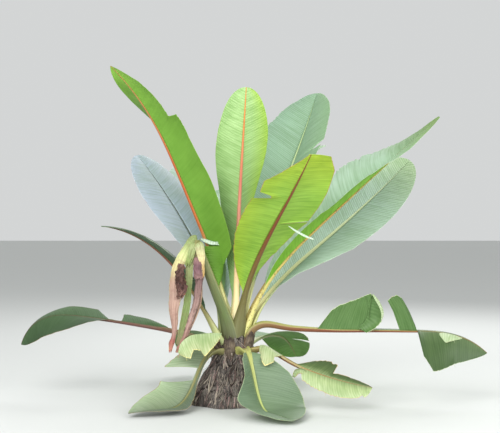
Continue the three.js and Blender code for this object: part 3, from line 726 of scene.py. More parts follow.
def slab(middle, normal, thick, values, flip=False, both=False):
    """A closed thin slab round a grid of middle points, with the values of its points. Its
    faces are of kind 0 on the upper side, 1 on the lower side and 2 at the margin"""
    lines, columns = middle.shape[:2]
    half = normal * (np.broadcast_to(thick, (lines, columns)) / 2)[..., None]
    faces = slab_faces(lines, columns)
    cells = (lines - 1) * (columns - 1)
    kinds = np.zeros(len(faces), int)
    kinds[cells : 2 * cells] = 1
    column = np.arange(2 * cells) % (columns - 1)
    kinds[: 2 * cells][(column == columns - 2) | (both & (column == 0))] = 2
    kinds[2 * cells : 2 * cells + lines - 1] = 2
    made = {key: [np.broadcast_to(value, (lines, columns))] * 2 for key, value in values.items()}
    made.update(points=[middle + half, middle - half], lift=[normal, normal])
    made = {key: np.stack(value) for key, value in made.items()}
    return {**made, "faces": faces[:, ::-1] if flip else faces, "kinds": kinds}


def slab_mesh(name, slabs):
    """Several slabs as one mesh"""
    points = [part["points"].reshape(-1, 3) for part in slabs]
    starts = np.cumsum([0] + [len(some) for some in points])
    faces = np.concatenate([part["faces"] + start for part, start in zip(slabs, starts)])
    mesh = mesh_of(name, np.concatenate(points), faces.tolist())
    joined = lambda key: np.concatenate([np.ravel(part[key]) for part in slabs])
    for key in ("pleat", "vein", "across", "torn", "run"):
        store(mesh, key, joined(key))
    store(mesh, "lift", joined("lift"), "FLOAT_VECTOR")
    store(mesh, "kinds", joined("kinds"), "INT", "FACE")
    return mesh


def blade_half(leaf, path, side, draws):
    """One half of a blade as points, faces and what its vein lines and materials need"""
    k, sign = (0, 1) if side == "right" else (1, -1)
    blade = leaf["length"] * (1 - leaf["stalk"])
    keep_at, keep = zip(*leaf[side])
    drag_at, drag = zip(*leaf["drag"])
    full = lambda place: leaf["width"] / 2 * outline(place * leaf["cut_at"], leaf["widest"])
    lead = lambda place: leaf["slant"] * full(place) / blade * np.interp(place, drag_at, drag)
    even = np.linspace(0, 1, int(round(LINES_A_PLEAT * blade / VEIN_SPACING)) + 1)
    turns = [p - 0.5 * max(0, float(lead(p))) for p in keep_at if 0 < p < 1]
    foot_at = np.unique(np.round(np.concatenate([even, np.clip(turns, 0, 1)]), 5))
    middle_at = np.clip(foot_at + 0.5 * np.maximum(0, lead(foot_at)), 0, 1)
    kept = np.interp(middle_at, keep_at, keep)
    torn = step_up(0.02, 0.1, np.abs(1 - kept)) * (len(keep) > 2) * leaf["fray"]
    kept = kept * (1 + FRAY * torn * uneven(draws, foot_at * 0, foot_at, 1, int(blade / FRAY_RUN)))
    margin_half = np.maximum(WING, full(foot_at) * kept)
    edge = 1 - np.clip(MARGIN / margin_half, 0.01, 0.06)
    across = np.array([[*COLUMNS, last, 1.0] for last in edge])
    reach = across * np.minimum(kept, 1.2)[:, None]
    ahead = lead(foot_at)[:, None] * ((1 - VEIN_BEND) * reach + VEIN_BEND * reach**2)
    left_over = np.maximum(1 - foot_at, 1e-6)[:, None]
    ahead = np.where(ahead > 0, left_over * (1 - np.exp(-ahead / left_over)), ahead)
    place = np.clip(foot_at[:, None] + ahead, 0, 1)
    share = leaf["stalk"] + place * (1 - leaf["stalk"])
    half, _, _ = rib_size(leaf, share)
    width = np.maximum(WING, full(place) * kept[:, None] - half) + SINK
    first = np.radians(fold_of(leaf, k, place) + ARCH / 2)
    bend = math.radians(leaf["curl"] - ARCH)
    here = first + bend * across
    x = half - SINK + width * (np.sin(here) - np.sin(first)) / bend
    y = width * (np.cos(first) - np.cos(here)) / bend
    sway = uneven(draws, place * 0, place, 1, max(3, int(blade / SWAY_RUN)))
    ruffle = uneven(draws, place * 0, place, 1, max(6, int(blade / RUFFLE_RUN))) * leaf["ruffle"]
    off = across**1.6 * (SWAY * sway * width / USUAL_HALF) + across**5 * RUFFLE * ruffle
    point, right, up = on(path, share)
    normal = right * (-sign * np.sin(here))[..., None] + up * np.cos(here)[..., None]
    middle = point + right * (sign * x)[..., None] + up * y[..., None] + normal * off[..., None]
    thick = BLADE_THICK[0] + (BLADE_THICK[1] - BLADE_THICK[0]) * across
    pleat = step_up(0.02, 0.15, across) * (1 - np.exp(-(1 - foot_at) * blade / PLEAT_END))[:, None]
    values = dict(
        pleat=pleat * step_up(0.0, 0.1, full(place) * kept[:, None]), vein=(foot_at * blade)[:, None],
        across=sign * across, run=place, torn=torn[:, None] * (across > 0.999),
    )
    return slab(middle, normal, thick, values, flip=sign < 0)


def rib_mesh(name, leaf, path, clasp=CLASP):
    """A stalk and the rib that it runs on as: channelled above and rounded below"""
    close, rest = np.linspace(0, FOOT_PART, FOOT_STEPS + 1), np.linspace(FOOT_PART, 1, RIB_STEPS - FOOT_STEPS)
    share = np.concatenate([close[:-1], rest])
    half, depth, groove = rib_size(leaf, share)
    wide = clasp * (1 - step_up(0.0, CLASP_RUN / leaf["length"], share))
    half, depth = half + wide, depth + wide / 4
    place = np.maximum(0, blade_place(leaf, share))
    on_stalk = 1 - np.clip(share / max(leaf["stalk"], 0.01), 0, 1)
    lip = (LIPS[0] * on_stalk + LIPS[1] * (1 - on_stalk)) * (1 - step_up(0.0, LIP_END, place)) + LIPS[2]
    if leaf["stalk"] >= 1:
        lip = LIPS[0] * on_stalk + BARE_LIP
    lip = lip * half / (half + 0.001)
    over = np.linspace(1, -1, RIB_ROUND)
    turn = np.linspace(np.pi, 2 * np.pi, RIB_ROUND + 2)[1:-1]
    low_x, low_y = np.cos(turn), -np.abs(np.sin(turn)) ** 0.85
    x = half[:, None] * np.concatenate([over * 0.93, low_x])
    channel = -groove[:, None] + (groove + lip)[:, None] * over**2
    keel = depth[:, None] * low_y + lip[:, None] * np.abs(low_x) ** 6
    y = np.concatenate([channel, keel], axis=1)
    point, right, up = (line[:, None, :] for line in on(path, share))
    mesh = tube_mesh(name, point + right * x[..., None] + up * y[..., None], flip=True)
    round_at = np.concatenate([np.abs(over) - 1, np.abs(np.sin(turn))])
    store(mesh, "run", np.repeat(share, len(round_at)))
    store(mesh, "round", np.tile(round_at, len(share)))
    return mesh


def tinted(tree, base, colour, by, low, high, most=1.0, blend="MIX"):
    """Lays a colour over a base as a value rises from low to high, and at most so far"""
    amount = add(tree, "ShaderNodeMapRange", {"Value": by, "From Min": low, "From Max": high, "To Max": most})
    mixed = {"Factor": amount, "A": base, "B": linear(colour) if isinstance(colour, str) else colour}
    return add(tree, "ShaderNodeMix", mixed, data_type="RGBA", blend_type=blend)


def streaks_along(tree, x, y, scale, detail):
    """Noise over two of a piece's own values, drawn out along one of them"""
    flat = add(tree, "ShaderNodeCombineXYZ", {"X": x, "Y": y})
    drawn_out = add(tree, "ShaderNodeMapping", {"Vector": flat, "Scale": scale})
    return add(tree, "ShaderNodeTexNoise", {"Vector": drawn_out, "Scale": 1.0, "Detail": detail})


def own_values(tree, *names):
    """A piece's own attributes, and its place, for a material to read"""
    values = [add(tree, "ShaderNodeAttribute", attribute_name=name).outputs["Fac"] for name in names]
    return *values, add(tree, "ShaderNodeTexCoord").outputs["Object"]


def leaf_skin(name, tones, gloss, through, bloom=0.0, leaf=PLAIN_LEAF):
    """Living leaf tissue: a thin wax over green cells that light shines through. The wax gives
    soft highlights along the pleats, and each vein shows as a fine paler line. Each pleat is also
    painted paler on its crest and darker in its trough, as painted light and shade"""
    material, tree = new_finish(name)
    across, vein, run, place = own_values(tree, "across", "vein", "run")
    tones = tones.split()
    stops = [(i / (len(tones) - 1), tone) for i, tone in enumerate(tones)]
    side = add(tree, "ShaderNodeMapRange", {"Value": across, "From Min": -1.0})
    sides = add(tree, "ShaderNodeValToRGB", {"Fac": side}, stops)
    base = tinted(tree, sides, leaf["tip"] or tones[0], run, 0.72, 0.97, 1.0 if leaf["tip"] else 0.0)
    streaks = streaks_along(tree, across, vein, (1.2, 45.0, 1.0), 2.0)
    clouds = add(tree, "ShaderNodeTexNoise", {"Vector": place, "Scale": 3.2, "Detail": 3.0})
    # Painted light and shade in step with the pleats: each pleat's crest is painted paler and its trough
    # darker. It is added to the streaks, evened out as the leaf asks, and laid over its patches of tone
    turns = add(tree, "ShaderNodeMath", {0: vein, 1: 2 * math.pi / VEIN_SPACING}, operation="MULTIPLY")
    crest = add(tree, "ShaderNodeMath", {0: turns}, operation="SINE")
    light = add(tree, "ShaderNodeMath", {0: crest, 1: leaf["painted_pleat_shade"], 2: streaks}, operation="MULTIPLY_ADD")
    even = {0: light, 1: leaf["streaks_and_pleat_shade"], 2: 0.5 * (1 - leaf["streaks_and_pleat_shade"])}
    calm = add(tree, "ShaderNodeMath", even, operation="MULTIPLY_ADD")
    tone_with_pleat_shade = add(tree, "ShaderNodeMath", {0: calm, 1: clouds}, operation="ADD")
    varied = tinted(tree, base, "#CFDCC4", tone_with_pleat_shade, 0.75, 1.25, blend="MULTIPLY")
    dusted = add(tree, "ShaderNodeMath", {0: clouds, 1: bloom}, operation="MULTIPLY")
    dust = {"Factor": dusted, "A": varied, "B": linear("#DCE8E8")}
    waxed = add(tree, "ShaderNodeMix", dust, data_type="RGBA")
    fine = add(tree, "ShaderNodeMath", {0: vein, 1: 8 * math.pi / VEIN_SPACING}, operation="MULTIPLY")
    lines = add(tree, "ShaderNodeMath", {0: fine}, operation="SINE")
    relief = add(tree, "ShaderNodeMath", {0: lines, 1: 0.2, 2: streaks}, operation="MULTIPLY_ADD")
    bump = add(tree, "ShaderNodeBump", {"Strength": 0.07, "Distance": 0.0012, "Height": relief})
    rough = add(tree, "ShaderNodeMapRange", {"Value": clouds, "To Min": gloss - 0.07, "To Max": gloss + 0.09})
    wax = add(tree, "ShaderNodeBsdfPrincipled", {
        "Base Color": waxed, "Roughness": rough, "IOR": 1.45, "Specular IOR Level": leaf["shine"],
        "Normal": bump,
    })
    glow = add(tree, "ShaderNodeBsdfTranslucent", {"Color": waxed})
    both = add(tree, "ShaderNodeMixShader", {"Fac": through, 1: wax, 2: glow})
    add(tree, "ShaderNodeOutputMaterial", {"Surface": both})
    return material


def dry_margin(name, tone):
    """A blade's margin, where the tissue has dried to a thin stiff line: matt and opaque"""
    material, tree = new_finish(name)
    (place,) = own_values(tree)
    patches = add(tree, "ShaderNodeTexNoise", {"Vector": place, "Scale": 28.0, "Detail": 3.0})
    toned = tinted(tree, linear(tone), "#8A5A34", patches, 0.5, 0.75, 0.6)
    return coated(material, tree, {"Base Color": toned, "Roughness": 0.7, "Specular IOR Level": 0.3})


def stalk_skin(name, channel, keel, spots):
    """A stalk's and rib's skin: smooth, tight and waxy over spongy tissue, with long fine
    streaks, and paler along the channel's two edges"""
    material, tree = new_finish(name)
    run, turn, place = own_values(tree, "run", "round")
    above, below = (
        add(tree, "ShaderNodeValToRGB", {"Fac": run}, list(zip(np.linspace(0.04, 0.9, len(t)) ** 1.25, t)))
        for t in (channel.split(), keel.split())
    )
    base = tinted(tree, above, below, turn, -0.05, 0.35)
    streaks = streaks_along(tree, turn, run, (9.0, 5.0, 1.0), 5.0)
    streaked = tinted(tree, base, "#CDBE96", streaks, 0.35, 0.7, 0.45, "MULTIPLY")
    blots = add(tree, "ShaderNodeTexNoise", {"Vector": place, "Scale": 48.0, "Detail": 5.0})
    marked = tinted(tree, streaked, "#5A4430", blots, 0.57, 0.66, spots)
    bump = add(tree, "ShaderNodeBump", {"Strength": 0.3, "Distance": 0.002, "Height": streaks})
    return coated(material, tree, {"Base Color": marked, "Roughness": 0.42, "IOR": 1.45, "Normal": bump})


def pleat_tree():
    """Raises a blade's pleats along its vein lines, gives its two sides and margin their materials,
    and hangs threads of torn tissue on its tears"""
    tree, given = new_tree("vein_pleats", {
        "Spacing": ("Float", VEIN_SPACING), "Depth": ("Float", PLEAT_DEPTH),
        "Upper": ("Material", None), "Lower": ("Material", None), "Margin": ("Material", None),
        "Threads": ("Float", 0.04), "Thread length": ("Float", 0.02), "Seed": ("Int", 5),
    })
    vein, pleat, lift, kinds, torn = (
        add(tree, "GeometryNodeInputNamedAttribute", {"Name": key}, data_type=kind)
        for key, kind in (
            ("vein", "FLOAT"), ("pleat", "FLOAT"), ("lift", "FLOAT_VECTOR"), ("kinds", "INT"),
            ("torn", "FLOAT"),
        )
    )
    turns = add(tree, "ShaderNodeMath", {0: vein, 1: given["Spacing"]}, operation="DIVIDE")
    angle = add(tree, "ShaderNodeMath", {0: turns, 1: 2 * math.pi}, operation="MULTIPLY")
    wave = add(tree, "ShaderNodeMath", {0: angle}, operation="SINE")
    depth = add(tree, "ShaderNodeMath", {0: pleat, 1: given["Depth"]}, operation="MULTIPLY")
    height = add(tree, "ShaderNodeMath", {0: wave, 1: depth}, operation="MULTIPLY")
    offset = add(tree, "ShaderNodeVectorMath", {0: lift, "Scale": height}, operation="SCALE")
    pleated = add(tree, "GeometryNodeSetPosition", {"Geometry": given["Geometry"], "Offset": offset})
    shown = pleated
    for value, name in enumerate(("Upper", "Lower", "Margin")):
        chosen = add(tree, "FunctionNodeCompare", {2: kinds, 3: value}, data_type="INT", operation="EQUAL")
        shown = add(
            tree, "GeometryNodeSetMaterial", {"Geometry": shown, "Selection": chosen, "Material": given[name]}
        )
    chance = add(tree, "ShaderNodeMath", {0: torn, 1: given["Threads"]}, operation="MULTIPLY")
    held = add(
        tree, "FunctionNodeRandomValue", {"Probability": chance, "Seed": given["Seed"]}, data_type="BOOLEAN"
    )
    roots = add(tree, "GeometryNodeMeshToPoints", {"Mesh": pleated, "Selection": held}, mode="VERTICES")
    line = add(tree, "GeometryNodeCurvePrimitiveLine", {"End": (0.15, 0.1, -1.0)})
    bent = add(tree, "GeometryNodeResampleCurve", {"Curve": line, "Count": 4})
    section = add(tree, "GeometryNodeCurvePrimitiveQuadrilateral", {"Width": 0.06, "Height": 0.02})
    swept = {"Curve": bent, "Profile Curve": section, "Fill Caps": True}
    thread = add(tree, "GeometryNodeCurveToMesh", swept)
    longer = add(tree, "FunctionNodeRandomValue", {2: 0.3, 3: 1.3, "Seed": 9}, data_type="FLOAT")
    length = add(tree, "ShaderNodeMath", {0: longer, 1: given["Thread length"]}, operation="MULTIPLY")
    size = add(tree, "ShaderNodeCombineXYZ", {"X": length, "Y": length, "Z": length})
    any_way = {0: (-0.4, -0.4, 0.0), 1: (0.4, 0.4, 6.28), "Seed": 4}
    turned = add(tree, "FunctionNodeRandomValue", any_way, data_type="FLOAT_VECTOR")
    on_tears = {"Points": roots, "Instance": thread, "Rotation": turned, "Scale": size}
    hung = add(tree, "GeometryNodeInstanceOnPoints", on_tears)
    real = add(tree, "GeometryNodeRealizeInstances", {"Geometry": hung})
    dried = add(tree, "GeometryNodeSetMaterial", {"Geometry": real, "Material": given["Margin"]})
    joined = add(tree, "GeometryNodeJoinGeometry", {0: shown})
    tree.links.new(dried.outputs[0], joined.inputs[0])
    add(tree, "NodeGroupOutput", {"Geometry": joined})
    return tree


pleats = pleat_tree()
skins = {}
for seed, (leaf_name, leaf) in enumerate(LEAVES.items()):
    leaf = {**PLAIN_LEAF, **leaf}
    skins[leaf_name] = {
        "Upper": leaf_skin(
            leaf_name + "_waxy_upper_side", leaf["upper"], leaf["gloss"], 0.2, leaf["bloom"], leaf
        ),
        "Lower": leaf_skin(leaf_name + "_satin_lower_side", leaf["lower"], 0.5, 0.22, 0.0, leaf),
        "Margin": dry_margin(leaf_name + "_dry_margin", leaf["margin"]),
    }
    path = walk(leaf, foot_point(leaf))
    draws = np.random.default_rng(100 + seed)
    halves = [blade_half(leaf, path, side, draws) for side in ("right", "left")]
    blade = make_object(leaf_name + "_blade", slab_mesh(leaf_name, halves))
    grow(blade, pleats, {**skins[leaf_name], "Seed": seed, "Depth": leaf["pleat"]})
    rib = make_object(leaf_name + "_rib", rib_mesh(leaf_name + "_rib", leaf, path))
    rib.data.materials.append(
        stalk_skin(leaf_name + "_waxy_stalk", leaf["channel"], leaf["keel"], leaf["spots"])
    )
    join_root(blade, "leaf", leaf_name)
    join_root(rib, "leaf", leaf_name)


# Torn pieces: where the wind has split a blade along its veins, a strip or a flap of it hangs
# loose from the rib, turned over or rolled, with a dried edge along the tear.
PIECE_THICK = 0.0012
PIECE_STEP = 0.006  # from one line of a strip to the next
FLAP_NICK, FLAP_SWAY = 0.003, 0.006  # depth of a flap's nicks, and height of its waves


def mm(values):
    """Places or widths in metres, from millimetres"""
    return np.array(values) / 1000


def line_through(points, count, smooth=True):
    """Points at even shares of a line through the given ones"""
    share = np.linspace(0, 1, count)
    knots = np.linspace(0, 1, len(points))
    one = (lambda c: spread(c, share)) if smooth else (lambda c: np.interp(share, knots, c))
    return np.stack([one(c) for c in zip(*points)], axis=-1)


def unit(vectors):
    return vectors / np.maximum(np.linalg.norm(vectors, axis=-1, keepdims=True), 1e-9)


def sheet(first, second, bulge, draws):
    """A torn flap between its two edges, of which the second is the blade's own margin"""
    length = np.linalg.norm(np.diff(first, axis=0), axis=1).sum()
    lines = max(20, int(length / PIECE_STEP * 2))
    a, b = line_through(first, lines), line_through(second, lines, smooth=False)
    nicks = uneven(draws, np.zeros(lines), np.linspace(0, 1, lines), 1, lines // 2)
    b = b + unit(b - a) * (FLAP_NICK * nicks)[:, None]
    s = np.concatenate([np.linspace(0, 0.96, 13), [1.0]])
    along = unit(np.gradient(a + b, axis=0))
    normal = unit(np.cross(b - a, along))
    across = np.broadcast_to(s, (lines, len(s)))
    t = np.broadcast_to(np.linspace(0, 1, lines)[:, None], across.shape)
    sway = uneven(draws, across * 0.5, t, 4, 5)
    off = bulge * 4 * across * (1 - across) + FLAP_SWAY * sway * across
    middle = a[:, None] * (1 - across[..., None]) + b[:, None] * across[..., None]
    middle = middle + normal[:, None] * off[..., None]
    steep = np.gradient(off, axis=1) / np.maximum(np.gradient(across, axis=1), 1e-6)
    slope = steep / np.maximum(np.linalg.norm(b - a, axis=1), 0.01)[:, None]
    tilted = unit(normal[:, None] - unit(b - a)[:, None] * slope[..., None])
    values = dict(
        pleat=step_up(0.0, 0.2, across), vein=t * length, across=across, run=t, torn=(across > 0.999) * 1.0
    )
    return slab(middle, tilted, PIECE_THICK, values)


def strip(line, widths, facing, curl, draws, crumple=0.0, ragged=0.0):
    """A long strip that faces a compass direction and curls by some degrees over its width,
    towards that side where curl is above 0"""
    length = np.linalg.norm(np.diff(line, axis=0), axis=1).sum()
    lines = max(12, int(length / PIECE_STEP))
    centre = line_through(line, lines)
    t = np.linspace(0, 1, lines)
    s = np.concatenate([[-1.0], np.linspace(-0.93, 0.93, 15), [1.0]])
    compass = np.radians(spread(facing, t))
    towards = np.stack([np.cos(compass), np.sin(compass), 0 * compass], axis=-1)
    along = unit(np.gradient(centre, axis=0))
    side = unit(np.cross(along, towards))
    face = np.cross(side, along)
    bend = np.radians(spread(curl, t))[:, None] / 2 + 1e-3
    radius = spread(widths, t)[:, None] / 2 / bend
    across = np.broadcast_to(s, (lines, len(s)))
    turn = bend * across
    u = (across + 1) * 0.499
    coarse = uneven(draws, u, t[:, None] + 0 * u, 9, int(lines / 4) + 1)
    rough = crumple * (coarse + 0.5 * uneven(draws, u, t[:, None] + 0 * u, 21, int(lines / 2) + 1))
    x, z = radius * np.sin(turn), radius * (1 - np.cos(turn))
    normal = face[:, None] * np.cos(turn)[..., None] - side[:, None] * np.sin(turn)[..., None]
    tear = ragged * (0.5 + 0.5 * uneven(draws, u, 0 * u, 12, 1)) * step_up(0.3, 1.0, t)[:, None]
    middle = centre[:, None] + side[:, None] * x[..., None] + face[:, None] * z[..., None]
    middle = middle + normal * rough[..., None] - along[:, None] * tear[..., None]
    values = dict(pleat=0.0, vein=t[:, None] * length, across=across, run=t[:, None], torn=0.0)
    return slab(middle, normal, PIECE_THICK, values, both=True)


def dry_leaf(name, tones, patch_tone, patched):
    """Leaf tissue that has died: matt and papery, streaked along the strip that it has become,
    with darker rotted patches"""
    material, tree = new_finish(name)
    run, across, place = own_values(tree, "run", "across")
    tones = tones.split()
    stops = list(zip(np.linspace(0.04, 0.96, len(tones)), tones))
    base = add(tree, "ShaderNodeValToRGB", {"Fac": run}, stops)
    streaks = streaks_along(tree, across, run, (7.0, 2.5, 1.0), 5.0)
    patches = add(tree, "ShaderNodeTexNoise", {"Vector": place, "Scale": 24.0, "Detail": 4.0})
    streaked = tinted(tree, base, "#A08878", streaks, 0.4, 0.72, 0.7, "MULTIPLY")
    marked = tinted(tree, streaked, patch_tone, patches, 0.5, 0.62, patched)
    bump = add(tree, "ShaderNodeBump", {"Strength": 0.5, "Distance": 0.003, "Height": patches})
    return coated(material, tree, {
        "Base Color": marked, "Roughness": 0.72, "Specular IOR Level": 0.3, "Normal": bump,
    })


def alike(skin, margin):
    """The finishes of a piece that looks the same from both sides"""
    return {"Upper": skin, "Lower": skin, "Margin": margin}


def add_piece(name, slabs, node, finishes, depth=0.0, slot="leaf"):
    """Makes a torn or dead piece of blade that joins its leaf's own in place of its CAD node"""
    piece = make_object(name, slab_mesh(name, slabs))
    grow(piece, pleats, {**finishes, "Depth": depth, "Threads": 0.03})
    join_root(piece, slot, node)


draws = np.random.default_rng(31)
tall, low = skins["leaf_tall_left"], skins["leaf_right_low"]
white_shred = leaf_skin("bleached_shred", "#D8E8DC #E4F0E4 #C8DCC8", 0.5, 0.2)
bleached = alike(white_shred, white_shred)
turned = alike(leaf_skin("pale_turned_edge", "#B9C7A0 #C6D2B2 #B4C49C", 0.5, 0.2), low["Margin"])
pale_flap = leaf_skin("yellowing_flap", "#C0CB9E #C2CEA8 #B6C594 #CBCFA4", 0.5, 0.22)
yellowed = alike(pale_flap, dry_margin("yellow_flap_edge", "#D8D28C"))
tanned = alike(pale_flap, dry_margin("tan_flap_edge", "#D8CC8C"))
browned = alike(pale_flap, dry_margin("orange_curl_edge", "#C88A48"))
for name, node, finishes, depth, piece in (
    ("leaf_tall_left_flap", "leaf_tall_left", {**tall, "Upper": tall["Lower"]}, PLEAT_DEPTH, sheet(
        mm([(-56, -150, 1330), (-45, -140, 1263), (-48, -130, 1171), (-61, -120, 1078), (-94, -110, 985)]),
        mm([(-234, -175, 1331), (-226, -170, 1256), (-210, -165, 1181), (-169, -145, 1079),
         (-103, -110, 977)]),
        0.02, draws,
    )),
    ("leaf_right_low_lap", "leaf_right_low", {**low, "Upper": low["Lower"]}, 0.0003, sheet(
        mm([(1140, -214, 905), (1150, -193, 850), (1150, -165, 760), (1120, -149, 690), (1070, -138, 655)]),
        mm([(1190, -215, 930), (1240, -215, 862), (1276, -212, 785), (1262, -205, 700), (1205, -200, 640),
         (1140, -190, 608), (1090, -160, 640)]),
        0.018, draws,
    )),
    ("leaf_right_low_turned_edge", "leaf_right_low", turned, 0.0, strip(
        mm([(1187, -222, 932), (1222, -224, 884), (1252, -224, 830), (1268, -222, 775), (1262, -216, 716)]),
        mm([10, 24, 26, 22, 8]), [-100], [60], draws, 0.001,
    )),
    ("leaf_right_low_turned_fold", "leaf_right_low", turned, 0.0, sheet(
        mm([(1722, -150, 620), (1780, -190, 610), (1860, -198, 594), (1932, -210, 568)]),
        mm([(1724, -160, 613), (1752, -230, 576), (1790, -262, 535), (1862, -240, 552), (1931, -216, 563)]),
        0.004, draws,
    )),
    ("leaf_tall_left_shred", "leaf_tall_left", bleached, 0.0, strip(
        mm([(-240, -180, 1391), (-196, -185, 1373), (-146, -185, 1356), (-97, -175, 1352),
         (-49, -160, 1335)]),
        mm([12, 30, 32, 26, 16]), [-90], [70], draws, 0.001,
    )),
    ("leaf_front_shred", "leaf_front", bleached, 0.0, strip(
        mm([(477, -560, 1501), (538, -520, 1461), (613, -480, 1420), (687, -450, 1391)]),
        mm([4, 16, 18, 8]), [-90], [60], draws,
    )),
    ("leaf_back_right_shred", "leaf_back_right", bleached, 0.0, strip(
        mm([(791, 960, 2184), (828, 955, 2226), (884, 950, 2244)]), mm([6, 24, 12]), [-90], [60], draws,
    )),
    ("leaf_left_torn_flap", "leaf_left_torn", yellowed, 0.0004, sheet(
        mm([(-63, -200, 605), (-144, -240, 613), (-241, -300, 612), (-320, -360, 602), (-390, -400, 550),
         (-413, -420, 479)]),
        mm([(-62, -210, 593), (-90, -270, 550), (-133, -330, 500), (-196, -400, 440), (-229, -380, 486),
         (-285, -400, 497), (-310, -460, 428), (-362, -460, 444), (-413, -430, 472)]),
        0.015, draws,
    )),
    ("leaf_right_torn_flap", "leaf_right_torn", tanned, 0.0003, sheet(
        mm([(256, -115, 500), (302, -158, 501), (346, -188, 481), (395, -195, 449), (436, -190, 421)]),
        mm([(245, -210, 463), (267, -360, 393), (292, -370, 360), (364, -362, 390), (368, -315, 427),
         (432, -205, 418)]),
        0.006, draws,
    )),
    ("leaf_right_torn_curl", "leaf_right_torn", browned, 0.0, strip(
        mm([(530, -240, 249), (558, -250, 296), (607, -260, 302), (636, -260, 273)]),
        mm([30, 60, 60, 30]), [-90], [150], draws, 0.003,
    )),
):
    add_piece(name, [piece], node, finishes, depth)


# The dead leaf: its stalk has buckled, and the blade hangs from it in rolled and half dry
# strips, pink-brown where the tissue is dead and still green down the middle.
DEAD_STALK = {**PLAIN_LEAF, **dict(
    azimuth=[222], foot=(0.060, 0.540), length=0.924, stalk=1, lean=[11, 26, 25, 27], stout=1.3,
)}
DEAD_BLADE = {**PLAIN_LEAF, **dict(
    azimuth=[200, 192], length=1.010, stalk=0.03, lean=[165, 192, 184, 160, 156, 158],
)}
CLEARANCE = 0.0004  # from the stalk's end to the blade's start
# A strip's centre line and widths in millimetres, the compass direction that it faces and its
# curl in degrees, how deep it is crumpled and torn at its end in metres, its tones from the top
# down, and its rotted patches' tone and strength.
DEAD_STRIPS = {
    "dead_leaf_green_strip": (
        [(-300, -300, 1370), (-324, -325, 1204), (-332, -330, 1016), (-352, -335, 828), (-392, -340, 649),
         (-427, -345, 518)],
        [60, 65, 55, 62, 50, 30], [-80], [50], 0.003, 0.02,
        "#A6AD7D #909B69 #758951 #72854F #817C5D", "#76704A", 0.3,
    ),
    "dead_leaf_left_strip": (
        [(-318, -315, 1372), (-366, -345, 1290), (-416, -365, 1173), (-437, -375, 1055), (-442, -375, 938),
         (-455, -375, 822), (-448, -370, 695), (-455, -370, 600), (-474, -365, 529), (-483, -360, 455)],
        [55, 75, 105, 125, 125, 100, 70, 50, 60, 20], [-95],
        [-60, -90, -110, -120, -120, -150, -180, -60], 0.0025, 0.03,
        "#8EA066 #C4CC8E #D2C892 #BC9E8C #B29688 #AE9082 #A88A7C #A4847A #A0645C #B47C6C", "#86625A", 0.35,
    ),
    "dead_leaf_crumpled_curl": (
        [(-385, -385, 1190), (-407, -395, 1085), (-395, -395, 988), (-408, -385, 900)],
        [60, 130, 120, 40], [-90, -60], [120, 240, 200, 120], 0.014, 0.04,
        "#8A6A60 #5A4038 #6E504A #8A685E", "#2E201C", 0.75,
    ),
    "dead_leaf_right_patch": (
        [(-250, -335, 1245), (-247, -350, 1180), (-247, -352, 1110), (-243, -345, 1045)],
        [70, 95, 95, 85], [-85], [-70, -90], 0.006, 0.03,
        "#8E6E6A #735459 #7A5C60 #8A6C68", "#4E3A3C", 0.55,
    ),
    "dead_leaf_roll": (
        [(-258, -330, 1075), (-282, -335, 880), (-328, -340, 739), (-375, -345, 603), (-435, -350, 462)],
        [130, 140, 130, 120, 60], [-115, -125], [-240, -300, -320, -300, -200], 0.004, 0.03,
        "#7E6462 #9A7F78 #A48880 #98786E #AA7C6C", "#5E4844", 0.6,
    ),
    "dead_leaf_cap": (
        [(-262, -285, 1385), (-290, -300, 1380), (-322, -330, 1320), (-338, -345, 1225), (-340, -350, 1150)],
        [70, 100, 110, 85, 30], [-95], [-70], 0.003, 0.05,
        "#82935E #8D9E66 #9AA674 #8A9B60 #7C8F4E", "#6A6C46", 0.3,
    ),
    "dead_leaf_cap_edge": (
        [(-270, -305, 1372), (-243, -330, 1330), (-226, -345, 1240), (-213, -345, 1150), (-210, -340, 1070)],
        [50, 85, 60, 26, 16], [-80], [-60], 0.003, 0.02,
        "#8FA068 #B4BA8C #D2CA98 #C8AF74 #B3955C", "#8E785C", 0.3,
    ),
}

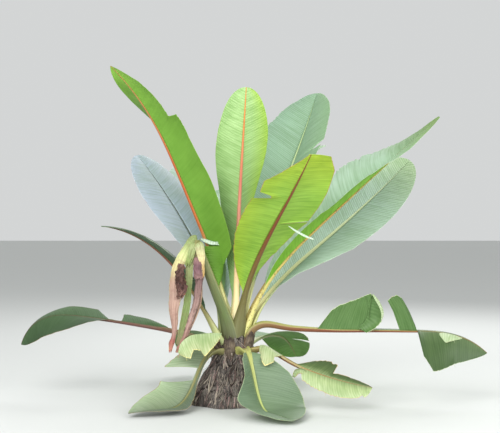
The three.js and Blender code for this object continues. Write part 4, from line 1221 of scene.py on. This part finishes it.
dead_path = walk(DEAD_STALK, foot_point(DEAD_STALK))
blade_start = dead_path["point"][-1] + dead_path["along"][-1] * CLEARANCE
dying_stalk = stalk_skin("dying_stalk", "#A8AC74 #B0B47C #C0C48C", "#62664A #5E6E40 #667048 #8C9060", 0.25)
dying_rib = stalk_skin("dying_rib", "#9A9A68 #A89078 #B09080", "#8A8A58 #A08870 #A88878 #C79E90", 0.5)
for name, node, leaf, path, clasp, finish in (
    ("dead_leaf_stalk_skin", "dead_leaf_stalk", DEAD_STALK, dead_path, CLASP, dying_stalk),
    ("dead_leaf_rib", "dead_leaf_blade", DEAD_BLADE, walk(DEAD_BLADE, blade_start), 0.0, dying_rib),
):
    dead_rib = make_object(name, rib_mesh(name, leaf, path, clasp))
    dead_rib.data.materials.append(finish)
    join_root(dead_rib, "dead_leaf", node)
for name, (line, widths, facing, curl, crumple, tear, tones, rot, patched) in DEAD_STRIPS.items():
    finish = dry_leaf(name + "_dry", tones, rot, patched)
    edge = dry_margin(name + "_edge", tones.split()[1])
    slabs = [strip(mm(line), mm(widths), facing, curl, draws, crumple, tear)]
    add_piece(name, slabs, "dead_leaf_blade", alike(finish, edge), slot="dead_leaf")


# The stubs: what is left of fallen leaves, their bases wrapped half round the stem. The tissue
# is withered to a tan, ragged sheath that frays at the top where the leaf broke off.
STUBS = [  # compass direction, height of the foot, length
    (-36, 0.380, 0.250), (258, 0.360, 0.240), (205, 0.330, 0.240), (140, 0.370, 0.230),
    (30, 0.350, 0.240), (80, 0.330, 0.220),
]
STUB_REACH = 0.128  # from the stem's middle
STUB_LEAN = [8, 14]
STUB_SHEATHS = [  # how far out it stands, width, degrees that it wraps, raggedness
    (0.035, 0.15, 150, 0.07), (0.012, 0.12, 170, 0.12), (-0.012, 0.09, 120, 0.16),
]
stub_finish = dry_leaf("withered_stub", "#483F38 #655A4E #766A5A #4A3F38", "#2E2622", 0.6)
withered = alike(stub_finish, dry_margin("withered_stub_edge", "#6E5C48"))
for i, (azimuth, height, length) in enumerate(STUBS):
    stub = dict(azimuth=[azimuth], foot=(STUB_REACH, height), length=length, stalk=1, lean=STUB_LEAN)
    stub_path = walk({**PLAIN_LEAF, **stub}, foot_point(stub))
    middle = stub_path["point"][:: FRAME_STEPS // 4]
    outward = np.array([math.cos(math.radians(azimuth)), math.sin(math.radians(azimuth)), 0.0])
    sheaths = [
        strip(
            middle + outward * out, [w, w * 0.9, w * 0.7], [azimuth], [-bend, -bend * 0.8], draws, 0.003, tear
        )
        for out, w, bend, tear in STUB_SHEATHS
    ]
    node = "leaf_stub_%d" % (i + 1)
    add_piece(node + "_sheath", sheaths, node, withered, slot="leaf_stub")
